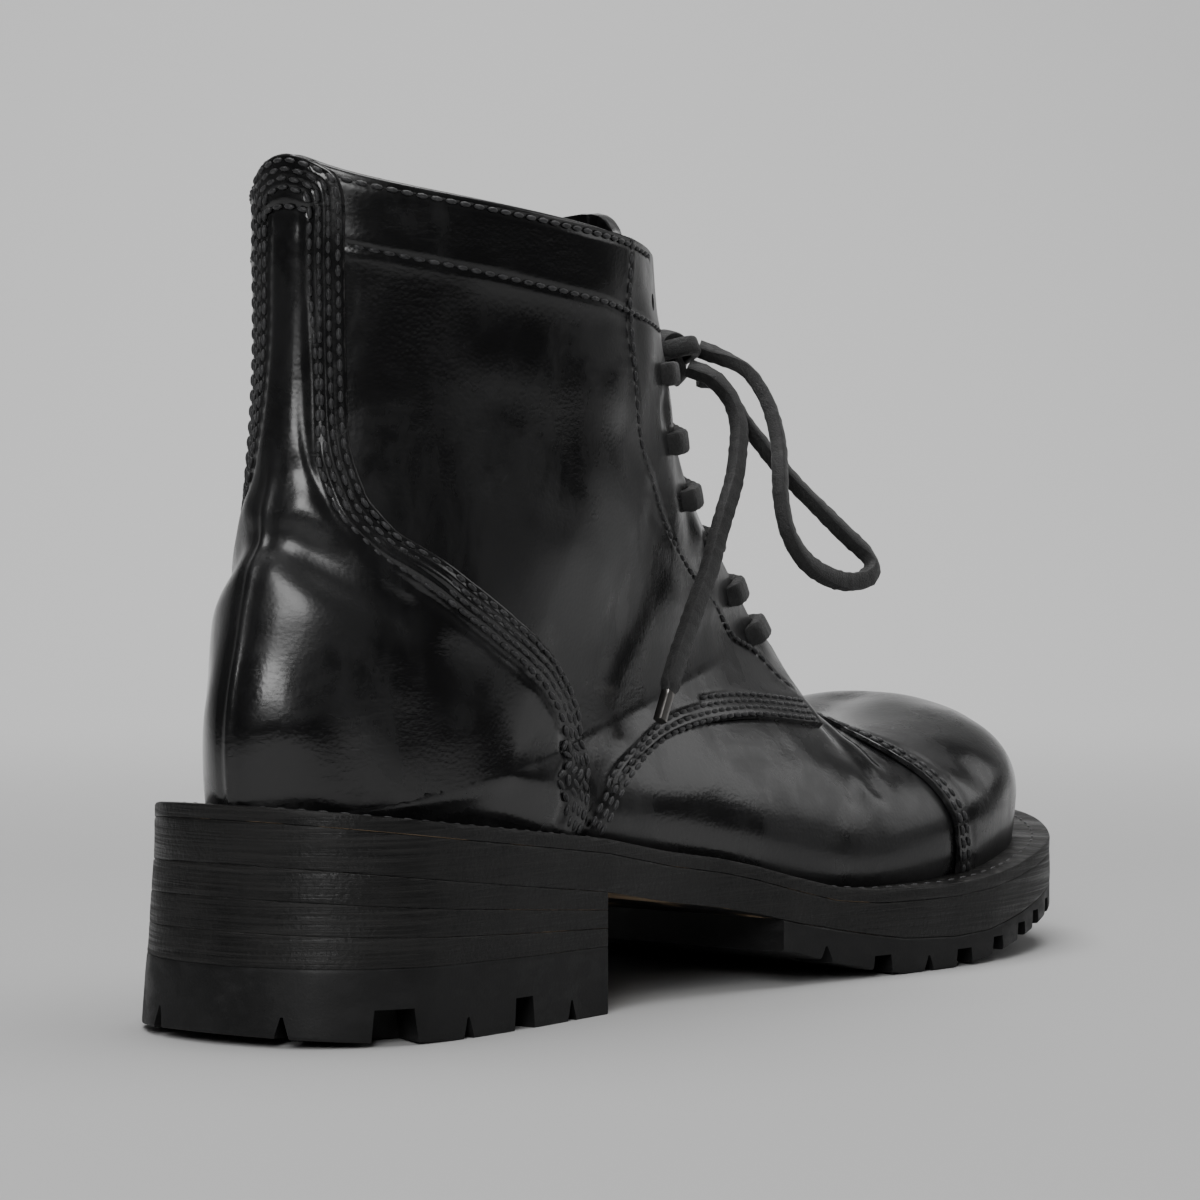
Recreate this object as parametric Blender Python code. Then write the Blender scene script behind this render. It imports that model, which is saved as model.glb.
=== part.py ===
# Service boot, right foot: a black leather derby boot on a stacked heel and a lugged rubber sole.
# Every length below is in millimetres. x runs forward from the back of the heel, y to the wearer's
# left (the inner side of a right foot) and z up from the floor. The finished pieces are in metres,
# with the origin on the floor under the middle of the boot.
import bpy
import bmesh
import numpy as np
from math import cos, pi, radians, sin
from mathutils import Matrix, Vector

MM = 0.001
ORIGIN_X = 152.0
GAP = 0.3

# ---- driving sizes -------------------------------------------------------------------------
UPPER_WALL = 2.0            # vamp and lining
QUARTER = 1.3               # thickness of the quarter overlay
COUNTER = 2.9               # heel counter and backstay
TOE_CAP = 1.4
WELT = 3.0
INSOLE = 2.8
TONGUE = 2.2
TONGUE_ROOM = 2.6           # space between the flaps and the tongue
LACE_WIDE, LACE_THICK = 4.4, 2.0
CORD_RADIUS = 1.6
EYELET_SIZE = 4.4
EYELET_DEEP = 14.0          # length of the punch
EYELET_INSET = 10.0         # from the throat's edge
HEEL_BREAST = 88.0          # front face of the heel
HALF_SOLE_BACK = 150.0      # where the rubber half sole begins
HEEL_LIFTS = 3

# The sole seen from below: half widths at stations along its length.
# Columns: x, lateral, medial.
SOLE = [
    (5, 22, 22),
    (22, 36, 36),
    (50, 39.5, 39.5),
    (85, 39, 37),
    (120, 39, 34.5),
    (160, 46, 41),
    (200, 54, 52),
    (232, 56, 56),
    (264, 48, 53),
    (289, 29, 42),
    (300, 10, 29),
]
HEEL_POINT = (0, 0)
TOE_POINT = (304, 11)

# Heights along the sole: the welt's top, the midsole's underside and the tread.
LEVEL_COLUMNS = ("x", "rim", "seam", "tread")
LEVELS = [
    (0, 50.5, 38.0, 16.5),
    (36, 45.5, 33.3, 16.0),
    (88, 38.8, 27.0, 15.0),
    (113, 34.0, 22.6, 13.0),
    (131, 31.2, 20.0, 11.0),
    (142, 28.8, 17.8, 9.6),
    (154, 25.6, 15.0, 7.8),
    (168, 22.2, 12.2, 4.2),
    (181, 20.8, 10.0, 1.4),
    (190, 20.5, 8.6, 0.0),
    (208, 20.4, 7.6, 0.0),
    (222, 21.2, 8.2, 1.4),
    (237, 22.9, 10.6, 4.2),
    (255, 25.4, 14.0, 7.6),
    (275, 28.0, 17.2, 10.4),
    (290, 30.0, 19.2, 12.2),
    (304, 32.0, 21.0, 14.0),
]
MORE_STATIONS = [60, 100, 122, 195, 202, 215, 229, 245, 265, 283]
HEEL_SHRINK = 4.0           # the heel flares by this much from the welt down to the floor, at its back
HEEL_ROLL = (45.0, 2.2)     # the heel's back edge rises over this length, by this much
SHRINK_LENGTH = 60.0        # the flare has run out this far from the back

# The feather line, where the upper's foot meets the welt: half widths from its heel to its toe.
FEATHER = [
    (11, 4.5, 4.5),
    (15, 10, 10),
    (21, 15, 15),
    (28, 19, 19),
    (38, 22.5, 22.5),
    (48, 25, 25),
    (62, 27.3, 26.2),
    (85, 28.8, 26.5),
    (120, 30.8, 26),
    (160, 36.2, 31),
    (200, 42.8, 40.5),
    (232, 43.6, 43.6),
    (255, 39, 42),
    (270, 31, 37),
    (282, 17.5, 31),
    (288, 5, 24.5),
]
FEATHER_HEEL = (10, 0)
FEATHER_TOE = (290.5, 11)
CORE_INSET = 19.0           # the welt's strip ends this far inside the sole's edge

# The upper's outer face, as sections that fan from the collar round the heel and along the foot
# to the toe.
# Each runs from a point low at the back or on the feather line to one on the front ridge.
# z None: the low point is on the feather line. lateral, medial: widest half widths; ridge: y of the
# ridge; wide: how far up the widest place is; top, low: roundness above and below it; sag: dip.
LAST_COLUMNS = ("x", "z", "ridge_x", "ridge_z", "lateral", "medial", "ridge_y", "wide", "top", "low",
                "sag")
LAST = [
    (27, 204, 139, 188, 37, 37, 0, .53, 1.60, 1.75, 5),
    (27, 187, 142, 166, 37, 37, 0, .53, 1.60, 1.75, 4),
    (27, 165, 145.5, 152.5, 36.5, 36.5, 0, .52, 1.60, 1.75, 3),
    (26.5, 144, 151, 141, 36, 36, 0, .50, 1.60, 1.7, 1.5),
    (24, 125, 157, 130, 35, 34.5, 0, .47, 1.60, 1.6, .5),
    (19.5, 106, 164, 119, 34.5, 33.5, 0, .43, 1.60, 1.5, 0),
    (14, 90, 172.5, 109, 33.5, 33, 0, .38, 1.60, 1.6, 0),
    (10, 75, 181, 100, 32.5, 32, 0, .34, 1.62, 1.6, 0),
    (8.5, 61, 188, 92, 32, 31.5, 0, .30, 1.64, 1.6, 0),
    (10, None, 194.5, 85, 32, 31.5, 0, .26, 1.66, 1.5, 0),
    (14, None, 198.5, 81, 32.2, 31.2, 0, .26, 1.68, 1.5, 0),
    (28, None, 201.5, 77.5, 32.6, 31.0, 0, .27, 1.70, 1.7, 0),
    (50, None, 204.5, 73.5, 33.5, 31.3, 0, .28, 1.72, 2.0, 0),
    (80, None, 207.5, 69, 35.5, 32.5, 0, .29, 1.78, 2.5, 0),
    (110, None, 210, 64.5, 37.5, 33.5, 0, .31, 1.85, 2.6, 0),
    (140, None, 213, 60.5, 40.5, 36.0, .5, .33, 1.92, 2.6, 0),
    (168, None, 217.5, 57.5, 44.5, 40.0, 1, .35, 2.0, 2.6, 0),
    (194, None, 224, 56, 47.0, 45.0, 2, .37, 2.05, 2.6, 0),
    (216, None, 234, 56.5, 47.5, 48.0, 3, .39, 2.15, 2.5, 0),
    (236, None, 247, 58.8, 45.5, 47.5, 4.5, .40, 2.2, 2.5, 0),
    (254, None, 260, 60.3, 40.5, 45.5, 5.5, .40, 2.2, 2.4, 0),
    (268, None, 272, 58.5, 33.0, 42.0, 6.5, .40, 2.2, 2.4, 0),
    (279, None, 282, 53.5, 23.0, 36.5, 7.5, .42, 2.2, 2.3, 0),
    (286, None, 288.2, 46.5, 11.5, 29.5, 8.2, .45, 2.15, 2.2, 0),
    (289.8, None, 291.3, 38.5, 0.0, 21.0, 8.6, .48, 2.1, 2.1, 0),
]
HEEL_ROW = 9                # first section whose foot is on the feather line
SAG_POWER, SAG_SOFT = 0.25, 0.01     # the dip starts close to the back, rounded over the backstay
# The gap between the flaps: section and half gap.
THROAT = [(0, 22), (2, 21), (3, 20.5), (4.2, 19), (5.3, 15.5), (6.5, 10.5), (7.9, 8), (9.5, 7), (11, 6),
          (12, 0)]
THROAT_END = 12

# Seams seen from the side, as x and z. The counter's edge drops straight beside the backstay, swings
# forward at the ankle and rounds back down to the welt; a smooth curve runs through its guide.
COUNTER_GUIDE = [(30, 215), (30, 160), (30, 125), (38, 106), (60, 89), (76, 78), (85, 67), (87, 54), (82, 30)]
QUARTER_EDGE = [(199, 215), (199, 78), (197, 67), (195.5, 57.3), (185, 58.3), (160, 60.5), (135, 59.5),
                (118, 56.5), (106, 51.5), (98, 46), (90, 36)]
CAP_EDGE = [(211, 75), (213, 57), (214, 50), (217, 40), (222, 20), (224, 5)]


def column(table, names, name):
    at = names.index(name)
    return [row[at] for row in table]


def table_value(table, names, name, x):
    return np.interp(x, column(table, names, "x"), column(table, names, name))


def level(name, x):
    return table_value(LEVELS, LEVEL_COLUMNS, name, x)


# ---- curves ------------------------------------------------------------------------------------
def smooth_loop(points, steps, closed=True):
    # Centripetal Catmull-Rom through the points.
    points = np.array(points, float)
    count = len(points)
    if not closed:
        points = np.vstack([2 * points[0] - points[1], points, 2 * points[-1] - points[-2]])
    out = []
    for i in range(count if closed else count - 1):
        picks = [(i + k) % count for k in (-1, 0, 1, 2)] if closed else [i, i + 1, i + 2, i + 3]
        a, b, c, d = (points[k] for k in picks)
        knots = np.cumsum([0] + [np.linalg.norm(v) ** 0.5 for v in (b - a, c - b, d - c)])
        for u in np.linspace(knots[1], knots[2], steps, endpoint=False):
            def mix(p, q, start, end):
                return ((end - u) * p + (u - start) * q) / (end - start)
            ab = mix(a, b, knots[0], knots[1])
            bc = mix(b, c, knots[1], knots[2])
            cd = mix(c, d, knots[2], knots[3])
            low, high = mix(ab, bc, knots[0], knots[2]), mix(bc, cd, knots[1], knots[3])
            out.append(mix(low, high, knots[1], knots[2]))
    if not closed:
        out.append(points[-2])
    return np.array(out)


def outline_loop(table, heel, toe):
    lateral = [(x, -y) for x, y, _ in table]
    medial = [(x, y) for x, _, y in table]
    return smooth_loop([heel] + lateral + [toe] + medial[::-1], 20)


def inset_loop(loop, inset):
    # An anticlockwise loop moved inwards by inset, a number or one for each point.
    along = np.roll(loop, -1, axis=0) - np.roll(loop, 1, axis=0)
    along /= np.linalg.norm(along, axis=1)[:, None]
    inwards = np.stack([-along[:, 1], along[:, 0]], axis=1)
    return loop + inwards * np.reshape(inset, (-1, 1))


EDGE = outline_loop(SOLE, HEEL_POINT, TOE_POINT)


def side_curve(loop, side):
    # y as a function of x along one side of a loop; side is -1 lateral or +1 medial.
    heel, toe = loop[:, 0].argmin(), loop[:, 0].argmax()
    if side < 0:
        run = loop[heel:toe + 1] if heel < toe else np.vstack([loop[heel:], loop[:toe + 1]])
    else:
        run = loop[toe:heel + 1] if toe < heel else np.vstack([loop[toe:], loop[:heel + 1]])
        run = run[::-1]
    keep = np.concatenate([[True], np.diff(np.maximum.accumulate(run[:, 0])) > 1e-6])
    run = run[keep]
    return lambda x: np.interp(x, run[:, 0], run[:, 1])


def heel_inset(x):
    return HEEL_SHRINK * np.clip(1 - np.asarray(x) / SHRINK_LENGTH, 0, 1) ** 1.5


# The last itself is the lining's face: a wall's thickness inside the sizes in its table.
FEATHER_LOOP = inset_loop(outline_loop(FEATHER, FEATHER_HEEL, FEATHER_TOE), UPPER_WALL)
FEATHER_SIDE = {-1: side_curve(FEATHER_LOOP, -1), 1: side_curve(FEATHER_LOOP, 1)}
FOOT_HEEL, FOOT_TOE = FEATHER_HEEL[0] + UPPER_WALL, FEATHER_TOE[0] - UPPER_WALL
WALL_TURN = 0.7
FOOT_DROP = 4.0             # the last runs this far below the welt's top, where the pieces are trimmed


# ---- the last ----------------------------------------------------------------------------------
def natural_spline(rows):
    rows = np.asarray(rows, float)
    count = len(rows)
    matrix = np.zeros((count, count))
    right = np.zeros_like(rows)
    matrix[0, 0] = matrix[-1, -1] = 1
    for i in range(1, count - 1):
        matrix[i, i - 1:i + 2] = (1, 4, 1)
        right[i] = 6 * (rows[i - 1] - 2 * rows[i] + rows[i + 1])
    bend = np.linalg.solve(matrix, right)

    def value(at):
        at = float(np.clip(at, 0, count - 1))
        i = min(int(at), count - 2)
        u = at - i
        line = (1 - u) * rows[i] + u * rows[i + 1]
        return line + ((1 - u) ** 3 - (1 - u)) * bend[i] / 6 + (u ** 3 - u) * bend[i + 1] / 6

    return value


def line_normals(points):
    # Unit normals to the right of a line of points, seen with x forward and z up.
    along = np.gradient(np.array(points, float), axis=0)
    along /= np.linalg.norm(along, axis=1)[:, None]
    return np.stack([along[:, 1], -along[:, 0]], axis=1)


def last_rows():
    rows = [dict(zip(LAST_COLUMNS, row)) for row in LAST]
    squeeze = (FOOT_TOE - FOOT_HEEL) / (FEATHER_TOE[0] - FEATHER_HEEL[0])
    ridge_in = line_normals([(row["ridge_x"], row["ridge_z"]) for row in rows])
    back_in = -line_normals([(row["x"], row["z"] or level("rim", row["x"])) for row in rows[:HEEL_ROW + 1]])
    for i, row in enumerate(rows):
        row["ridge_x"] += ridge_in[i][0] * UPPER_WALL
        row["ridge_z"] += ridge_in[i][1] * UPPER_WALL
        row["lateral"] -= UPPER_WALL
        row["medial"] -= UPPER_WALL
        if i < HEEL_ROW:
            row["x"] += back_in[i][0] * UPPER_WALL
            row["z"] += back_in[i][1] * UPPER_WALL
        else:
            row["x"] = FOOT_HEEL + (row["x"] - FEATHER_HEEL[0]) * squeeze
            row["z"] = level("rim", row["x"]) - FOOT_DROP
    return [[row[name] for name in LAST_COLUMNS] for row in rows]


SECTION = natural_spline(last_rows())
LAST_ROW = len(LAST) - 1


def dip_share(up):
    # How far along the collar's dip a height share is, from 0 at the back to 1 at the front.
    low, high = SAG_SOFT ** SAG_POWER, (1 + SAG_SOFT) ** SAG_POWER
    return ((up + SAG_SOFT) ** SAG_POWER - low) / (high - low)


def last_point(section, turn, side):
    # turn 0 is the front ridge, 1 the back or the feather line. Past the last row is the toe's pole.
    if section > LAST_ROW:
        return np.array([FOOT_TOE, FEATHER_TOE[1], level("rim", FOOT_TOE) - FOOT_DROP])
    row = dict(zip(LAST_COLUMNS, SECTION(section)))
    foot_x, foot_z, foot_y = row["x"], row["z"], 0.0
    if section >= HEEL_ROW:
        foot_x = float(np.clip(foot_x, FOOT_HEEL, FOOT_TOE))
        foot_z = level("rim", foot_x) - FOOT_DROP
        foot_y = float(FEATHER_SIDE[side](foot_x))
    widest = side * row["medial" if side > 0 else "lateral"]
    angle = pi * turn
    along, across = abs(cos(angle)), abs(sin(angle))
    if turn <= 0.5:
        up = row["wide"] + (1 - row["wide"]) * along ** (2 / row["top"])
        y = row["ridge_y"] + (widest - row["ridge_y"]) * across ** (2 / row["top"])
    else:
        up = row["wide"] * (1 - along ** (2 / row["low"]))
        # A closed section rounds over its low end; one on the feather line stands up from it.
        open_foot = min(1.0, abs(foot_y - row["ridge_y"]) / (0.75 * abs(widest - row["ridge_y"])))
        power = 1 / row["low"] + (1 - 1 / row["low"]) * open_foot if section >= HEEL_ROW else 1 / row["low"]
        y = foot_y + (widest - foot_y) * across ** (2 * power)
    x = foot_x + (row["ridge_x"] - foot_x) * up
    z = foot_z + (row["ridge_z"] - foot_z) * up - row["sag"] * 4 * dip_share(up) * (1 - dip_share(up))
    return np.array([x, y, z])


def turn_at(section, y, side):
    # The turn at which the section is y from the middle, on its front half.
    row = dict(zip(LAST_COLUMNS, SECTION(section)))
    widest = row["medial" if side > 0 else "lateral"]
    share = np.clip((abs(y) - side * row["ridge_y"]) / (widest - side * row["ridge_y"]), 0, 1)
    return float(np.arcsin(share ** (row["top"] / 2)) / pi)


def half_gap(section):
    return float(np.interp(section, *zip(*THROAT)))


# Sections and turns that all pieces of the upper share, so that their facets stay parallel.
SECTIONS = [1, 1.9, 2.8, 3.7, 4.6, 5.4, 6.2, 7, 7.8, 8.5, 9, 9.5, 10.2, 11, 12, 13, 14, 14.8, 15.6,
            16.4, 17.2, 18, 18.9, 19.8, 20.7, 21.5, 22.3, 23.1, 24, 25]
TURNS = [0, .08, .18, .30, .43, .56, .68, .79, .88, .95, 1]


def last_at(section, turn):
    # turn runs from -1 at the back, round the lateral side, 0 at the front, to 1 at the back again.
    side = -1 if turn < 0 else 1
    if abs(turn) > 1:
        return last_point(section, 2 - abs(turn), -side)
    return last_point(section, abs(turn), side)


def last_normal(section, turn):
    if section > LAST_ROW:
        return np.array([1.0, 0.0, 0.0])
    before, after = max(section - 0.1, 0), min(section + 0.1, LAST_ROW)
    if section > HEEL_ROW:
        # Near the feather line the direction is that of the wall a little above it.
        turn = float(np.clip(turn, -WALL_TURN, WALL_TURN))
        before = max(before, HEEL_ROW)
    else:
        after = min(after, HEEL_ROW)
    across = last_at(section, turn + 0.02) - last_at(section, turn - 0.02)
    along = last_at(after, turn) - last_at(before, turn)
    normal = np.cross(along, across)
    return normal / np.linalg.norm(normal)


def skin(section, turn, offset):
    # A point of the upper's outer face moved outwards by offset.
    return last_at(section, turn) + last_normal(section, turn) * (UPPER_WALL + offset)


def row_turns(section, side):
    start = turn_at(section, half_gap(section), side) if section < THROAT_END else 0.0
    return [side * (start + (1 - start) * turn) for turn in TURNS]


# ---- meshes ------------------------------------------------------------------------------------
def place(point):
    return Vector(((point[0] - ORIGIN_X) * MM, point[1] * MM, point[2] * MM))


def clear_scene():
    for thing in list(bpy.data.objects):
        bpy.data.objects.remove(thing, do_unlink=True)


def make_collection(name):
    collection = bpy.data.collections.new(name)
    bpy.context.scene.collection.children.link(collection)
    return collection


def make_material(name, colour, roughness):
    material = bpy.data.materials.new(name)
    material.use_nodes = True
    shader = material.node_tree.nodes["Principled BSDF"]
    shader.inputs["Base Color"].default_value = (*colour, 1)
    shader.inputs["Roughness"].default_value = roughness
    material.diffuse_color = (*colour, 1)
    return material


def finish_mesh(bm, name, collection, material=None):
    bmesh.ops.remove_doubles(bm, verts=bm.verts, dist=1e-6)
    bmesh.ops.dissolve_degenerate(bm, edges=bm.edges, dist=1e-6)
    bmesh.ops.recalc_face_normals(bm, faces=bm.faces)
    if bm.calc_volume(signed=True) < 0:
        bmesh.ops.reverse_faces(bm, faces=bm.faces)
    mesh = bpy.data.meshes.new(name)
    bm.to_mesh(mesh)
    bm.free()
    thing = bpy.data.objects.new(name, mesh)
    collection.objects.link(thing)
    if material:
        mesh.materials.append(material)
    return thing


def boolean(thing, cutter, operation="DIFFERENCE"):
    # The cut is applied at once, so that the next one starts from a plain mesh.
    modifier = thing.modifiers.new(cutter.name, "BOOLEAN")
    modifier.operation = operation
    modifier.solver = "EXACT"
    modifier.object = cutter
    depsgraph = bpy.context.evaluated_depsgraph_get()
    mesh = bpy.data.meshes.new_from_object(thing.evaluated_get(depsgraph))
    thing.modifiers.clear()
    old = thing.data
    thing.data = mesh
    bpy.data.meshes.remove(old)


def hide_cutter(cutter):
    cutter.hide_render = True
    cutter.display_type = "WIRE"
    return cutter


def shell(name, collection, material, inner, outer, first, last, sides=(-1, 1)):
    # The last's surface between two offsets, from one section to another, with its edges closed.
    sections = [s for s in SECTIONS if first - 1e-6 <= s <= last + 1e-6]
    bm = bmesh.new()
    pairs = []
    for section in sections:
        row = []
        for side in sides:
            turns = row_turns(section, side)
            if side < 0:
                turns = turns[::-1]
            for turn in turns:
                row.append((skin(section, turn, outer), skin(section, turn, inner)))
        pairs.append(row)
    key = {}

    def vertex(i, j, layer):
        point = pairs[i][j][layer]
        where = (tuple(np.round(pairs[i][j][0], 3)), layer)
        if where not in key:
            key[where] = bm.verts.new(place(point))
        return key[where]

    columns = len(pairs[0])
    seam = len(TURNS) - 1 if len(sides) == 2 else -1
    edges = {}
    for i in range(len(sections) - 1):
        for j in range(columns - 1):
            if j == seam:
                continue
            corners = [(i, j), (i + 1, j), (i + 1, j + 1), (i, j + 1)]
            for layer in (0, 1):
                ring = []
                for at in corners:
                    v = vertex(*at, layer)
                    if v not in ring:
                        ring.append(v)
                # The same diagonal on every layer keeps the pieces' facets parallel.
                for corner in range(2, len(ring)):
                    triangle = (ring[0], ring[corner - 1], ring[corner])
                    bm.faces.new(triangle if layer == 0 else triangle[::-1])
            for a, b in zip(corners, corners[1:] + corners[:1]):
                va, vb = vertex(*a, 0), vertex(*b, 0)
                if va is not vb:
                    edges.setdefault(frozenset((va, vb)), []).append((a, b))
    for uses in edges.values():
        if len(uses) == 1:
            a, b = uses[0]
            ring = [vertex(*b, 0), vertex(*a, 0), vertex(*a, 1), vertex(*b, 1)]
            if len(set(ring)) == 4:
                bm.faces.new(ring)
    return finish_mesh(bm, name, collection, material)


def prism(name, collection, outline, y_from, y_to):
    # A side-view outline, as x and z, pulled across the boot.
    bm = bmesh.new()
    near = [bm.verts.new(place((x, y_from, z))) for x, z in outline]
    far = [bm.verts.new(place((x, y_to, z))) for x, z in outline]
    bm.faces.new(near)
    bm.faces.new(far[::-1])
    for i in range(len(near)):
        k = (i + 1) % len(near)
        bm.faces.new((near[i], far[i], far[k], near[k]))
    return hide_cutter(finish_mesh(bm, name, collection))


def spread_stations(low, high, marks, blunt_low, blunt_high):
    # Stations from low to high: the marks between them, closer together at a blunt end.
    ends = [0.0, 0.5, 2.0, 4.5, 8.5, 14.0]
    out = {low, high}
    if blunt_low:
        out |= {low + d for d in ends}
    if blunt_high:
        out |= {high - d for d in ends}
    clear = 14.0
    out |= {x for x in marks if low + (clear if blunt_low else 2) < x < high - (clear if blunt_high else 2)}
    return sorted(out)


def slab(name, collection, material, top, bottom, x_from=None, x_to=None, inset_top=0.0,
         inset_bottom=0.0, steps=()):
    # A plate of the sole's outline. top and bottom give z from x; an inset is a number or a
    # function of x. Each station holds a rung from the lateral edge to the medial one.
    loops = []
    for inset in (inset_top, inset_bottom):
        loops.append(inset_loop(EDGE, inset(EDGE[:, 0]) if callable(inset) else inset))
    spans = []
    for loop in loops:
        low = loop[:, 0].min() if x_from is None else x_from
        high = loop[:, 0].max() if x_to is None else x_to
        spans.append((low, high))
    marks = column(LEVELS, LEVEL_COLUMNS, "x") + MORE_STATIONS + list(steps)
    stations = spread_stations(*spans[0], marks, x_from is None, x_to is None)
    bm = bmesh.new()
    rungs = []
    for x in stations:
        rung = []
        for loop, span, height in zip(loops, spans, (top, bottom)):
            share = (x - spans[0][0]) / (spans[0][1] - spans[0][0])
            at = x if span == spans[0] else span[0] + share * (span[1] - span[0])
            for side in (-1, 1):
                rung.append((at, float(side_curve(loop, side)(at)), float(height(at))))
        rungs.append([bm.verts.new(place(p)) for p in rung])
    for (a0, a1, a2, a3), (b0, b1, b2, b3) in zip(rungs, rungs[1:]):
        for ring in ((a0, b0, b1, a1), (a2, a3, b3, b2), (a0, a2, b2, b0), (a1, b1, b3, a3)):
            bm.faces.new(ring)
    for (v0, v1, v2, v3) in (rungs[0], rungs[-1]):
        bm.faces.new((v0, v1, v3, v2))
    return finish_mesh(bm, name, collection, material)


# ---- the sole ----------------------------------------------------------------------------------
def rim(x):
    return level("rim", x)


def seam_level(x):
    return level("seam", x)


def heel_floor(x):
    length, rise = HEEL_ROLL
    return rise * max(0.0, 1 - x / length) ** 2


def lift_level(share):
    # Height between the top of the rubber lift, 0, and the midsole's underside, 1.
    return lambda x: level("tread", x) + share * (seam_level(x) - level("tread", x))


TOP_LIFT_EDGE = 0.4         # share of the flare left at the top of the rubber lift


def heel_edge(share):
    # The heel flares: its inset shrinks from the midsole, 1, to the floor, 0.
    return lambda x: heel_inset(x) * share


# Each notch: x, width, height, and the share of the width that its top keeps.
HEEL_NOTCHES = [(2.5, 4, 4.5, 0), (19, 10.5, 7, .8), (38, 4, 4.5, 0), (56.5, 6.5, 7, .8), (74, 4, 4.5, 0)]
TREAD_NOTCHES = [(165, 6, 3.6, 0), (183, 6, 4, .8), (198, 5, 3.8, 0), (212, 6, 4, .8), (226, 5, 4, .7),
                 (238, 5, 4, .7), (249, 5, 4, .7), (260, 5, 4, .7), (271, 5, 4, .7), (281, 5, 4, .7),
                 (291, 5, 4, .7)]
NOTCH_DEPTH = 11.0


def notch_cutters(name, collection, notches, floor):
    # Wedges or blocks set square to both edges, from just outside it to a little way in.
    bm = bmesh.new()
    for side in (-1, 1):
        for x, width, height, share in notches:
            run = [i for i in range(len(EDGE)) if EDGE[i, 1] * side > 0 or abs(EDGE[i, 1]) < 6]
            at = min(run, key=lambda i: abs(EDGE[i, 0] - x))
            point = EDGE[at]
            along = EDGE[(at + 1) % len(EDGE)] - EDGE[at - 1]
            along = along / np.linalg.norm(along)
            inwards = np.array([-along[1], along[0]])
            base = floor(x)
            mouth, crown = width / 2 + 0.6, width / 2 * share + 0.3
            section = [(-mouth, base - 3), (mouth, base - 3), (crown, base + height), (-crown, base + height)]
            rings = []
            for reach in (-6.0, NOTCH_DEPTH):
                foot = point + inwards * reach
                rings.append([bm.verts.new(place((*(foot + along * u), z))) for u, z in section])
            outer, inner = rings
            bm.faces.new(outer)
            bm.faces.new(inner[::-1])
            for i in range(4):
                k = (i + 1) % 4
                bm.faces.new((outer[i], inner[i], inner[k], outer[k]))
    return hide_cutter(finish_mesh(bm, name, collection))


def vertical_plug(name, collection, inset, z_from, z_to):
    # The sole's outline moved in by inset, as an upright block.
    loop = inset_loop(EDGE, inset)[::5]
    bm = bmesh.new()
    low = [bm.verts.new(place((x, y, z_from))) for x, y in loop]
    high = [bm.verts.new(place((x, y, z_to))) for x, y in loop]
    bm.faces.new(low[::-1])
    bm.faces.new(high)
    for i in range(len(low)):
        k = (i + 1) % len(low)
        bm.faces.new((low[i], low[k], high[k], high[i]))
    return hide_cutter(finish_mesh(bm, name, collection))


def build_sole(parts, cutters, materials):
    leather, rubber = materials["sole leather"], materials["rubber"]
    welt = slab("welt", parts, leather, rim, lambda x: rim(x) - WELT, inset_top=heel_inset,
                inset_bottom=heel_inset)
    boolean(welt, vertical_plug("welt_core", cutters, CORE_INSET, 0, 90))
    slab("midsole", parts, leather, lambda x: rim(x) - WELT - GAP, seam_level, inset_top=heel_inset,
         inset_bottom=heel_inset)
    slab("insole", parts, materials["insole"], lambda x: rim(x) + INSOLE - WELT, lambda x: rim(x) - WELT,
         inset_top=CORE_INSET + GAP, inset_bottom=CORE_INSET + GAP)
    shares = [i / HEEL_LIFTS for i in range(HEEL_LIFTS + 1)]
    for i in range(HEEL_LIFTS):
        low, high = shares[i], shares[i + 1]
        slab(f"heel_lift_{i + 1}", parts, leather, lambda x: lift_level(high)(x) - GAP, lift_level(low),
             x_to=HEEL_BREAST, inset_top=heel_edge(TOP_LIFT_EDGE + (1 - TOP_LIFT_EDGE) * high),
             inset_bottom=heel_edge(TOP_LIFT_EDGE + (1 - TOP_LIFT_EDGE) * low))
    top_lift = slab("heel_top_lift", parts, rubber, lambda x: level("tread", x) - GAP, heel_floor,
                    x_to=HEEL_BREAST, inset_top=heel_edge(TOP_LIFT_EDGE), inset_bottom=heel_edge(0.0),
                    steps=(10, 25, 45))
    boolean(top_lift, notch_cutters("heel_notches", cutters, HEEL_NOTCHES, heel_floor))
    outsole = slab("outsole", parts, rubber, lambda x: seam_level(x) - GAP, lambda x: level("tread", x),
                   x_from=HALF_SOLE_BACK)
    boolean(outsole, notch_cutters("tread_notches", cutters, TREAD_NOTCHES, lambda x: level("tread", x)))


# ---- the upper ---------------------------------------------------------------------------------
def welt_top_cutter(collection):
    # Everything under the welt's top, with the same stations as the welt.
    return hide_cutter(slab("welt_top", collection, None, lambda x: rim(x) + GAP, lambda x: rim(x) - 60,
                            inset_top=-25.0, inset_bottom=-25.0))


def eyelet_frame(section, side, offset):
    # Centre and outward normal of an eyelet, EYELET_INSET from the throat's edge.
    start = turn_at(section, half_gap(section), side)
    turn, walked = start, 0.0
    here = skin(section, side * turn, offset)
    while walked < EYELET_INSET:
        turn += 0.002
        there = skin(section, side * turn, offset)
        walked += np.linalg.norm(there - here)
        here = there
    return here, last_normal(section, side * turn), side * turn


EYELET_SECTIONS = [1.75, 2.95, 4.2, 5.3, 6.5, 7.9, 9.5]


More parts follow.
